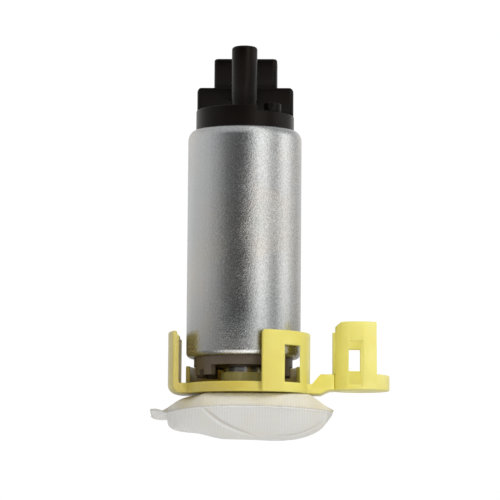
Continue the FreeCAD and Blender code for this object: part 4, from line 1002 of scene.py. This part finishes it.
@dataclass
class Strainer:
    """Bag of woven mesh: two sheets welded together along their rim, with a twisted tab at the left."""

    left: float = -30.85 * MM
    right: float = 29.85 * MM
    front: float = -20.55 * MM
    back: float = 21.95 * MM
    # Y of the two tips
    left_y: float = 4.0 * MM
    right_y: float = -1.0 * MM
    # Height of the seam, how far the upper side rises and the lower side falls, and where the seam comes down
    seam: float = -54.9 * MM
    crown: float = 4.7 * MM
    belly: float = 10.35 * MM
    droop: float = 4.6 * MM
    end_drop: float = 1.0 * MM
    # Radius of the neck's hole, thickness and width of the weld, and thickness of a sheet
    neck: float = 7.65 * MM
    weld: float = 0.76 * MM
    lip: float = 0.9 * MM
    cloth: float = 0.36 * MM
    # Tab: length, half width, how far its rear comes down and its front up, and what its end loses of those
    tab: float = 4.9 * MM
    tab_half: float = 3.0 * MM
    tab_twist: float = 2.0 * MM
    tab_lift: float = 0.8 * MM
    tab_taper: float = 0.6
    tab_untwist: float = 0.45
    # Powers of the outline: its fullness, the left corners and their gain, and the rear right corner
    fullness: float = 2.6
    corner: float = 0.6
    corner_gain: float = 0.5
    squareness: float = 15.0
    # Powers of the swelling across the bag: the upper side's front and rear, the lower side, and the ripples
    front_power: float = 15.0
    rear_power: float = 3.6
    belly_power: float = 2.9
    ripple_power: int = 14
    ripples: float = 0.07 * MM
    # Y from which the upper side turns from the front's run to the rear's, and over what length
    crown_start: float = -15.0 * MM
    crown_span: float = 12.0 * MM
    # Slant of the right end, and the share along the bag where it starts
    slant: float = 3.2 * MM
    slant_start: float = 0.55
    # Part painted with the bracket's yellow shade: its left, right and front, and how it fades sideways and
    # backwards
    yellow_shade_left: float = -22.5 * MM
    yellow_shade_right: float = -9.0 * MM
    yellow_shade_front: float = -15.0 * MM
    yellow_shade_fade: float = 5.0 * MM
    yellow_shade_depth: float = 8.0 * MM
    columns: int = 240
    rows: int = 156
    # Size of the flat sheet beyond the bag's, and the share of it that the outline covers
    spare: Flat = (3.0 * MM, 6.0 * MM)
    covered: float = 0.78
    front_run: Run = (
        *((-1.0, 0.05), (-0.84, 0.08), (-0.72, 0.26), (-0.66, 0.46), (-0.6, 0.71), (-0.54, 0.91)),
        (-0.46, 1.0),
        *RIGHT_END,
    )
    crown_run: Run = ((-1.0, 0.05), (-0.88, 0.42), (-0.78, 0.72), (-0.66, 0.92), (-0.54, 1.0), *RIGHT_END)
    belly_run: Run = (
        *((-1.0, 0.0), (-0.96, 0.52), (-0.88, 0.66), (-0.78, 0.72), (-0.6, 0.77), (-0.45, 0.86)),
        *((-0.3, 0.935), (-0.1, 0.96), (0.3, 0.98), (0.5, 0.95), (0.65, 0.87), (0.76, 0.76)),
        *((0.85, 0.63), (0.9, 0.53), (0.94, 0.2), (1.0, 0.0)),
    )
    folds: tuple[Fold, ...] = (
        Fold(
            start=(-18.2 * MM, -18.8 * MM),
            end=(5.0 * MM, -7.4 * MM),
            ridge=0.35 * MM,
            ridge_width=0.28 * MM,
            furrow=0.75 * MM,
            furrow_width=0.75 * MM,
            bow=0.7 * MM,
        ),
        Fold((10.0 * MM, -8.0 * MM), (26.5 * MM, -5.0 * MM), 0.12 * MM, 0.3 * MM, 0.2 * MM, 0.8 * MM),
    )

    def share(self, x: float) -> float:
        """Place along the bag, from -1 on its tab to 1 at its right tip."""
        start = self.left + self.tab
        return max(-1.0, 2 * (x - start) / (self.right - start) - 1)

    def out(self, x: float) -> float:
        """Place along the tab, from 0 at its root to 1 at its end."""
        return max(0.0, 1 - (x - self.left) / self.tab)

    def swell(self, x: float, power: float) -> float:
        """Fullness along the bag, from 0 at the ends to 1 in the middle."""
        return max(0.0, 1 - abs(self.share(x)) ** power)

    def edges(self, x: float) -> Flat:
        """Front and rear edge of the bag at a place along it.

        Args:
            x: Place along the bag.

        Returns:
            The two edges as Y.
        """
        share = self.share(x)
        along = (share + 1) / 2
        tip = self.left_y + (self.right_y - self.left_y) * along
        corner = self.corner + self.corner_gain * max(0.0, -share - 0.5)
        front = tip + (self.front - tip) * self.swell(x, self.fullness) ** corner
        squareness = self.fullness + self.squareness * max(0.0, share) ** 2
        back = tip + (self.back - tip) * self.swell(x, squareness) ** corner
        if share < 0:
            half = self.tab_half * (1 - self.tab_taper * self.out(x) ** 4)
            front = min(front, tip - half)
            back = max(back, tip + half)
        return front, back

    def seam_height(self, x: float, part: float) -> float:
        """Height of the welded rim's level at a place of the bag.

        Args:
            x: Place along the bag.
            part: Place across it, from 0 at the front to 1 at the rear.

        Returns:
            The height.
        """
        share, out = self.share(x), self.out(x)
        corner = (self.edges(x)[1] - self.right_y) / (self.back - self.right_y)
        twist = self.tab_twist * max(0.0, -share) ** 8 * (1 - self.tab_untwist * out**4)
        lift = self.tab_lift * min(1.0, 1.6 * out) * (1 - part)
        rear = self.droop * (share + 1) / 2 * corner + twist
        return self.seam - self.end_drop * share**2 - rear * part + lift

    def ripple(self, x: float, y: float) -> float:
        """Small unevenness of the cloth, in metres."""
        slow = math.sin(x / (3.1 * MM) + 1.3 * math.sin(y / (4.7 * MM)))
        return self.ripples * (slow + math.sin(y / (3.7 * MM) + x / (7.9 * MM)))

    def height(self, x: float, part: float, upper: bool) -> float:
        """Height of a sheet at a place of the bag.

        Args:
            x: Place along the bag.
            part: Place across it, from 0 to 1.
            upper: Whether it is the upper sheet.

        Returns:
            The height.
        """
        seam = self.seam_height(x, part)
        front, back = self.edges(x)
        y = front + (back - front) * part
        across = min(1.0, abs(2 * part - 1) / (1 - 2 * self.lip / max(back - front, 4 * self.lip)))
        side = self.swell(x, self.fullness)
        rim = 1 - across**self.ripple_power
        share = self.share(x)
        if upper:
            behind = eased(within((y - self.crown_start) / self.crown_span))
            crown = share_at(self.front_run, share) * (1 - behind) + share_at(self.crown_run, share) * behind
            level = self.seam + self.crown * crown
            power = self.front_power if part < 0.5 else self.rear_power
            rise = max(0.0, level - seam - self.weld / 2) * (1 - across**power)
            rise *= max(0.0, 1 - 1.5 * self.out(x)) ** 2
            return seam + self.weld / 2 + rise + 0.3 * self.ripple(x, y) * rim * side
        level = self.seam - self.belly * share_at(self.belly_run, share)
        fall = max(0.0, seam - level - self.weld / 2) * (1 - across**self.belly_power)
        creases = sum(fold.lift(x, y) for fold in self.folds)
        return seam - self.weld / 2 - fall + (creases + self.ripple(x, y)) * rim * min(1.0, 3 * side)

    def slanted(self, x: float, y: float) -> float:
        """Share of the slant of the right-hand end, which lies further in towards its rear corner."""
        near = max(0.0, (self.share(x) - self.slant_start) / (1 - self.slant_start))
        return near * near * within((y - self.right_y) / (self.back - self.right_y))

    def painted_yellow_shade(self, x: float, y: float) -> float:
        """How far the cloth at a place carries painted yellow shade from the bracket's shadow.

        Args:
            x: The place's X.
            y: The place's Y.

        Returns:
            A share from 0 to 1.
        """
        right = within((self.yellow_shade_right - x) / self.yellow_shade_fade)
        left = within((x - self.yellow_shade_left) / self.yellow_shade_fade)
        return right * left * within((y - self.yellow_shade_front) / self.yellow_shade_depth)

    def sheet(self, name: str, upper: bool) -> Piece:
        """Build one sheet of the bag.

        Args:
            name: Name of the piece.
            upper: Whether it is the upper sheet, which has the hole for the neck.

        Returns:
            The sheet.
        """
        mesh = bmesh.new()
        layer = mesh.loops.layers.uv.new("cloth")
        marks = {mark: mesh.verts.layers.float.new(mark) for mark in ("rim", "ridge", "furrow", "painted_yellow_shade")}
        bmesh.ops.create_grid(mesh, x_segments=self.columns, y_segments=self.rows, size=1.0)
        lines: dict[float, list[bmesh.types.BMVert]] = {}
        for spot in sorted(mesh.verts, key=lambda spot: spot.co.y):
            lines.setdefault(round(spot.co.x, 5), []).append(spot)
        middle, half = (self.left + self.right) / 2, (self.right - self.left) / 2
        for spot in mesh.verts:
            x = middle + half * (spot.co.x + math.sin(math.pi / 2 * spot.co.x)) / 2
            part = (1 + (spot.co.y + math.sin(math.pi / 2 * spot.co.y)) / 2) / 2
            front, back = self.edges(x)
            y = front + (back - front) * part
            spot.co = (x - self.slant * self.slanted(x, y), y, self.height(x, part, upper))
            spot[marks["rim"]] = max(0.0, 1 - min(y - front, back - y) / self.lip)
            if upper:
                # Painted yellow shade under the bracket
                spot[marks["painted_yellow_shade"]] = self.painted_yellow_shade(x, y)
            else:
                # Painted highlights on the folds' ridges and painted shadow in their furrows
                for fold in self.folds:
                    ridge, furrow = fold.shares(x, y)
                    spot[marks["ridge"]] = max(spot[marks["ridge"]], ridge)
                    spot[marks["furrow"]] = max(spot[marks["furrow"]], furrow * (1 - ridge))
        laid = {spot: length for line in lines.values() for spot, length in self.laid_out(line)}
        for face in mesh.faces:
            for loop in face.loops:
                loop[layer].uv = (loop.vert.co.x, laid[loop.vert])
        if upper:
            self.cut_neck(mesh)
        bmesh.ops.remove_doubles(mesh, verts=mesh.verts, dist=NEAR_SAME)
        bmesh.ops.recalc_face_normals(mesh, faces=mesh.faces)
        above = sum(face.normal.z * face.calc_area() for face in mesh.faces) > 0
        if above != upper:
            bmesh.ops.reverse_faces(mesh, faces=mesh.faces)
        piece = finished(name, mesh)
        wall = piece.modifiers.new("cloth", "SOLIDIFY")
        wall.thickness = self.cloth
        wall.offset = -1.0
        wall.use_even_offset = False
        return piece

    def cut_neck(self, mesh: Mesh) -> None:
        """Cut the round hole for the neck.

        Args:
            mesh: The upper sheet.
        """
        inside = [face for face in mesh.faces if Vector(face.calc_center_median()[:2]).length < self.neck]
        bmesh.ops.delete(mesh, geom=inside, context="FACES")
        edge = [spot for spot in mesh.verts if spot.is_boundary]
        for spot in [spot for spot in edge if Vector(spot.co[:2]).length < 1.4 * self.neck]:
            flat = Vector(spot.co[:2]).normalized() * self.neck
            spot.co = (flat.x, flat.y, spot.co.z)

    @staticmethod
    def laid_out(line: list[bmesh.types.BMVert]) -> list[tuple[bmesh.types.BMVert, float]]:
        """Lay a line across the bag flat.

        Args:
            line: Its vertices, from the front to the rear.

        Returns:
            Each vertex with the length of cloth from the line's middle to it.
        """
        steps = [0.0, *((after.co - before.co).length for before, after in zip(line, line[1:]))]
        lengths = list(accumulate(steps))
        return [(spot, length - lengths[len(line) // 2]) for spot, length in zip(line, lengths)]

    def build(self) -> list[Piece]:
        """Returns:
            Its pieces.
        """
        pieces = []
        for name, upper in (("strainer_sheet_upper", True), ("strainer_sheet_lower", False)):
            finish = CREAM_NYLON if upper else NYLON
            piece = settled(self.sheet(name, upper), "strainer_sock", finish)
            pieces.append(piece)
        return pieces


@dataclass(frozen=True)
class Coil:
    """Round-wire compression spring."""

    name: str
    joint: str
    centre: Flat
    bottom: float
    top: float
    radius: float
    wire: float
    turns: int
    fixed: float
    keep: float
    steps: int = 36
    sides: int = 10

    def build(self) -> Piece:
        """Sweep the wire's circle up its helix.

        Returns:
            The spring.
        """
        mesh = bmesh.new()
        steps = self.turns * self.steps
        place = Matrix.Translation((self.radius, 0, self.bottom + self.wire))
        start = place @ Matrix.Rotation(math.pi / 2, 4, "X")
        bmesh.ops.create_circle(mesh, cap_ends=False, segments=self.sides, radius=self.wire, matrix=start)
        bmesh.ops.spin(
            mesh,
            geom=mesh.verts[:] + mesh.edges[:],
            cent=(0, 0, 0),
            axis=(0, 0, 1),
            dvec=(0, 0, (self.top - self.bottom - 2 * self.wire) / steps),
            angle=2 * math.pi * self.turns,
            steps=steps,
        )
        bmesh.ops.holes_fill(mesh, edges=[edge for edge in mesh.edges if edge.is_boundary], sides=self.sides)
        bmesh.ops.translate(mesh, verts=mesh.verts, vec=(*self.centre, 0))
        bmesh.ops.remove_doubles(mesh, verts=mesh.verts, dist=SAME)
        bmesh.ops.recalc_face_normals(mesh, faces=mesh.faces)
        piece = settled(finished(self.name + "_wire", mesh), self.name, SPRING_WIRE)
        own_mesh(piece)
        return piece


@dataclass
class Springs:
    """Springs of the brushes, the outlet valve and the relief valve."""

    brush_x: float = 8.0 * MM
    nipple_y: float = -10.5 * MM
    boss: Flat = (9.35 * MM, -9.0 * MM)

    def coils(self) -> list[Coil]:
        """Sizes of the four springs.

        Returns:
            The springs.
        """
        pair = [
            Coil(
                f"brush_spring_{side}",
                f"brush_{side}_slide",
                (sign * self.brush_x, 0.0),
                bottom=28.05 * MM,
                top=41.15 * MM,
                radius=1.7 * MM,
                wire=0.15 * MM,
                turns=7,
                fixed=41.2 * MM,
                keep=0.848,
            )
            for side, sign in (("left", -1), ("right", 1))
        ]
        outlet = Coil(
            "check_valve_spring",
            "check_valve_slide",
            (0.0, self.nipple_y),
            bottom=47.5 * MM,
            top=56.0 * MM,
            radius=1.7 * MM,
            wire=0.17 * MM,
            turns=5,
            fixed=56.05 * MM,
            keep=0.767,
        )
        relief = Coil(
            "relief_spring",
            "relief_slide",
            self.boss,
            bottom=43.85 * MM,
            top=45.05 * MM,
            radius=1.15 * MM,
            wire=0.14 * MM,
            turns=3,
            fixed=45.1 * MM,
            keep=0.52,
        )
        return [*pair, outlet, relief]

    def build(self) -> list[Piece]:
        """Build and dress the springs."""
        return [coil.build() for coil in self.coils()]


@dataclass
class BrushLeads:
    """Braided leads inside the brush springs."""

    brush_x: float = 8.0 * MM
    bottom: float = 28.0 * MM
    top: float = 41.2 * MM
    radius: float = 0.5 * MM
    keep: float = 0.848
    segments: int = 24

    def build(self) -> list[Piece]:
        """Build and dress the leads.

        Returns:
            Its pieces.
        """
        leads = []
        for side, sign in (("left", -1), ("right", 1)):
            mesh = bmesh.new()
            bmesh.ops.create_cone(
                mesh,
                cap_ends=True,
                segments=self.segments,
                radius1=self.radius,
                radius2=self.radius,
                depth=self.top - self.bottom,
                matrix=Matrix.Translation((sign * self.brush_x, 0.0, (self.bottom + self.top) / 2)),
            )
            lead = settled(finished(f"pigtail_{side}_braid", mesh), f"pigtail_{side}", BRAID)
            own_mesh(lead)
            leads.append(lead)
        return leads


@dataclass
class PackedNodes:
    """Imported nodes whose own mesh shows, by finish."""

    finishes: tuple[tuple[Finish, tuple[str, ...]], ...] = (
        (BROWN, ("inlet_cover",)),
        (NATURAL, ("strainer_frame", "check_valve_retainer")),
        (STEEL, ("retaining_ring", "rotor_shaft", "thrust_pin", "relief_ball")),
        (STEEL, ("magnet_clip_front", "magnet_clip_rear")),
        (BRASS, ("terminal_positive", "terminal_negative", "relief_plug")),
        (FERRITE, ("choke_core_left", "choke_core_right", "magnet_left", "magnet_right")),
        (WINDING, ("choke_coil_left", "choke_coil_right", "armature_windings")),
        (CARBON, ("brush_left", "brush_right")),
        (BRONZE, ("upper_bearing", "lower_bearing")),
        (LAMINATION, ("armature_core",)),
        (COPPER, ("commutator",)),
        (CHAMBER, ("pump_casing", "impeller")),
        (RUBBER, ("check_valve",)),
    )

    def build(self) -> list[Piece]:
        """Dress the nodes.

        Returns:
            The dressed nodes.
        """
        dressed = []
        for finish, names in self.finishes:
            nodes = [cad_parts[name] for name in names]
            finish.dress(*nodes)
            dressed.extend(nodes)
        return dressed


@dataclass(frozen=True)
class Panel:
    """Soft square panel that faces the pump and shows in no reflection."""

    name: str
    place: Spot
    size: float
    watts: float

    def build(self) -> None:
        """Add the panel."""
        data = bpy.data.lights.new(self.name, "AREA")
        data.shape = "RECTANGLE"
        data.size = data.size_y = self.size
        data.energy = self.watts
        panel = bpy.data.objects.new(self.name, data)
        bpy.context.scene.collection.objects.link(panel)
        panel.location = self.place
        panel.rotation_euler = (Vector((0, 0, 0)) - panel.location).to_track_quat("-Z", "Y").to_euler()
        panel.visible_glossy = False


@dataclass(frozen=True)
class Studio:
    """Pale floor, soft light from a wide tent, and the camera of the photograph."""

    target: Spot = (0.0, 0.0, 0.4 * MM)
    distance: float = 971.6 * MM
    azimuth: float = 1.7
    elevation: float = -6.66
    roll: float = 0.445
    lens: float = 209.4
    sensor: float = 36.0
    shift: Flat = (0.01164, -0.01208)
    clip: Flat = (0.05, 10.0)
    floor_level: float = -0.2
    floor_half: float = 3.0
    floor_tone: Colour = (0.9, 0.9, 0.9)
    backdrop: float = 1.02
    # Blue of the tent's light against its red and green
    blue: float = 0.99
    panels: tuple[Panel, ...] = (
        Panel("key_panel", (0.75, -0.75, 1.0), 0.9, 11.0),
        Panel("fill_panel", (-0.25, -1.1, -0.15), 0.5, 5.0),
        Panel("back_panel", (0.3, 1.1, 0.3), 0.6, 5.0),
    )
    # Brightness of the tent round the object: degrees from the camera's side towards +X
    tent: Run = (
        *((-180, 0.68), (-140, 0.7), (-107, 0.62), (-88, 0.58), (-72, 0.5), (-58, 0.4), (-44, 0.25)),
        *((-31, 0.135), (-8, 0.085), (7, 0.15), (20, 0.62), (31, 1.24), (45, 1.14), (58, 0.56), (70, 0.46)),
        (86, 1.22),
        *((104, 1.0), (118, 0.6), (132, 0.48), (150, 0.75), (180, 0.68)),
    )
    # Brightness from below, which only shining pieces see, by the same degrees
    low: Run = (
        *((-180, 0.3), (-80, 0.25), (-58, 0.35), (-42, 1.9), (-25, 1.3), (-12, 1.2), (0, 2.5), (40, 2.5)),
        *((70, 1.1), (180, 0.3)),
    )
    # Brightness from above, by the same degrees
    high: Run = (
        *((-180, 0.5), (-60, 0.46), (0, 0.46), (14, 0.6), (28, 1.0), (48, 1.0), (64, 0.5), (78, 0.38)),
        *((110, 0.4), (180, 0.5)),
    )
    # Share of the light from below and above, from straight down to straight up
    ends: tuple[Stop, ...] = ((0.34, (1, 1, 1)), (0.44, (0, 0, 0)), (0.66, (0, 0, 0)), (0.8, (1, 1, 1)))

    def ring(self, bench: Bench, around: Socket, levels: Run) -> Socket:
        """Light of one ring of the tent.

        Args:
            bench: Bench of the world.
            around: Direction round the object, from 0 to 1.
            levels: Degrees and brightness.

        Returns:
            Its colour.
        """
        stops = [((angle + 180) / 360, (level, level, level * self.blue)) for angle, level in levels]
        return bench.ramp(around, stops, smooth=True)

    def world(self) -> None:
        """Make the tent's light: a ring round the object, one below it and one above it."""
        bench = Bench(bpy.data.worlds.new("tent"), Place.WORLD)
        bpy.context.scene.world = bench.owner
        turn = bench.sums("ARCTAN2", bench.axis("X"), bench.sums("MULTIPLY", bench.axis("Y"), -1.0))
        around = bench.spread(turn, -math.pi, math.pi, 0.0, 1.0)
        level, low, high = (self.ring(bench, around, levels) for levels in (self.tent, self.low, self.high))
        rise = bench.spread(bench.axis("Z"), -1.0, 1.0, 0.0, 1.0)
        ends = bench.mixed(bench.sums("GREATER_THAN", rise, 0.5), low, high)
        colour = bench.mixed(bench.ramp(rise, self.ends), level, ends)
        light = bench.node("ShaderNodeBackground", {"Color": colour}).outputs[0]
        plain = bench.node("ShaderNodeBackground", {"Color": (1, 1, 1), "Strength": self.backdrop}).outputs[0]
        seen = bench.node("ShaderNodeLightPath", {}).outputs["Is Camera Ray"]
        shown = bench.node("ShaderNodeMixShader", {0: seen, 1: light, 2: plain}).outputs[0]
        bench.node("ShaderNodeOutputWorld", {"Surface": shown})

    def floor(self) -> None:
        """Add the pale floor below the camera's line of sight."""
        mesh = bmesh.new()
        bmesh.ops.create_grid(mesh, x_segments=1, y_segments=1, size=self.floor_half)
        bmesh.ops.translate(mesh, verts=mesh.verts, vec=(0, 0, self.floor_level))
        ground = finished("floor", mesh, smooth=False)
        bench = Bench.finish("pale floor")
        ground.data.materials.append(bench.surface(Base_Color=self.floor_tone, Roughness=0.8))
        ground.visible_glossy = False

    def camera(self) -> None:
        """Set the camera where the photograph was taken from."""
        data = bpy.data.cameras.new("camera")
        data.sensor_width = self.sensor
        data.lens = self.lens
        data.shift_x, data.shift_y = self.shift
        data.clip_start, data.clip_end = self.clip
        camera = bpy.data.objects.new("camera", data)
        bpy.context.scene.collection.objects.link(camera)
        turn, rise = math.radians(self.azimuth), math.radians(self.elevation)
        back = Vector((math.sin(turn) * math.cos(rise), -math.cos(turn) * math.cos(rise), math.sin(rise)))
        spot = Vector(self.target) + back * self.distance
        facing = (-back).to_track_quat("-Z", "Y").to_matrix().to_4x4()
        roll = Matrix.Rotation(math.radians(self.roll), 4, "Z")
        camera.matrix_world = Matrix.Translation(spot) @ facing @ roll
        bpy.context.scene.camera = camera

    def build(self) -> None:
        """Set up the light, the floor and the camera."""
        bpy.context.scene.view_settings.view_transform = "Standard"
        self.world()
        for panel in self.panels:
            panel.build()
        self.floor()
        self.camera()


def main() -> None:
    """Build every sub-assembly in order and report its pieces."""
    logging.basicConfig(level=logging.INFO, format="%(name)s: %(message)s")
    Studio().build()
    for assembly in (Can(), EndCap(), Bracket(), Strainer(), Springs(), BrushLeads(), PackedNodes()):
        pieces = assembly.build()
        LOG.info("%s: %s", type(assembly).__name__, ", ".join(piece.name for piece in pieces))


if __name__ == "__main__":
    main()
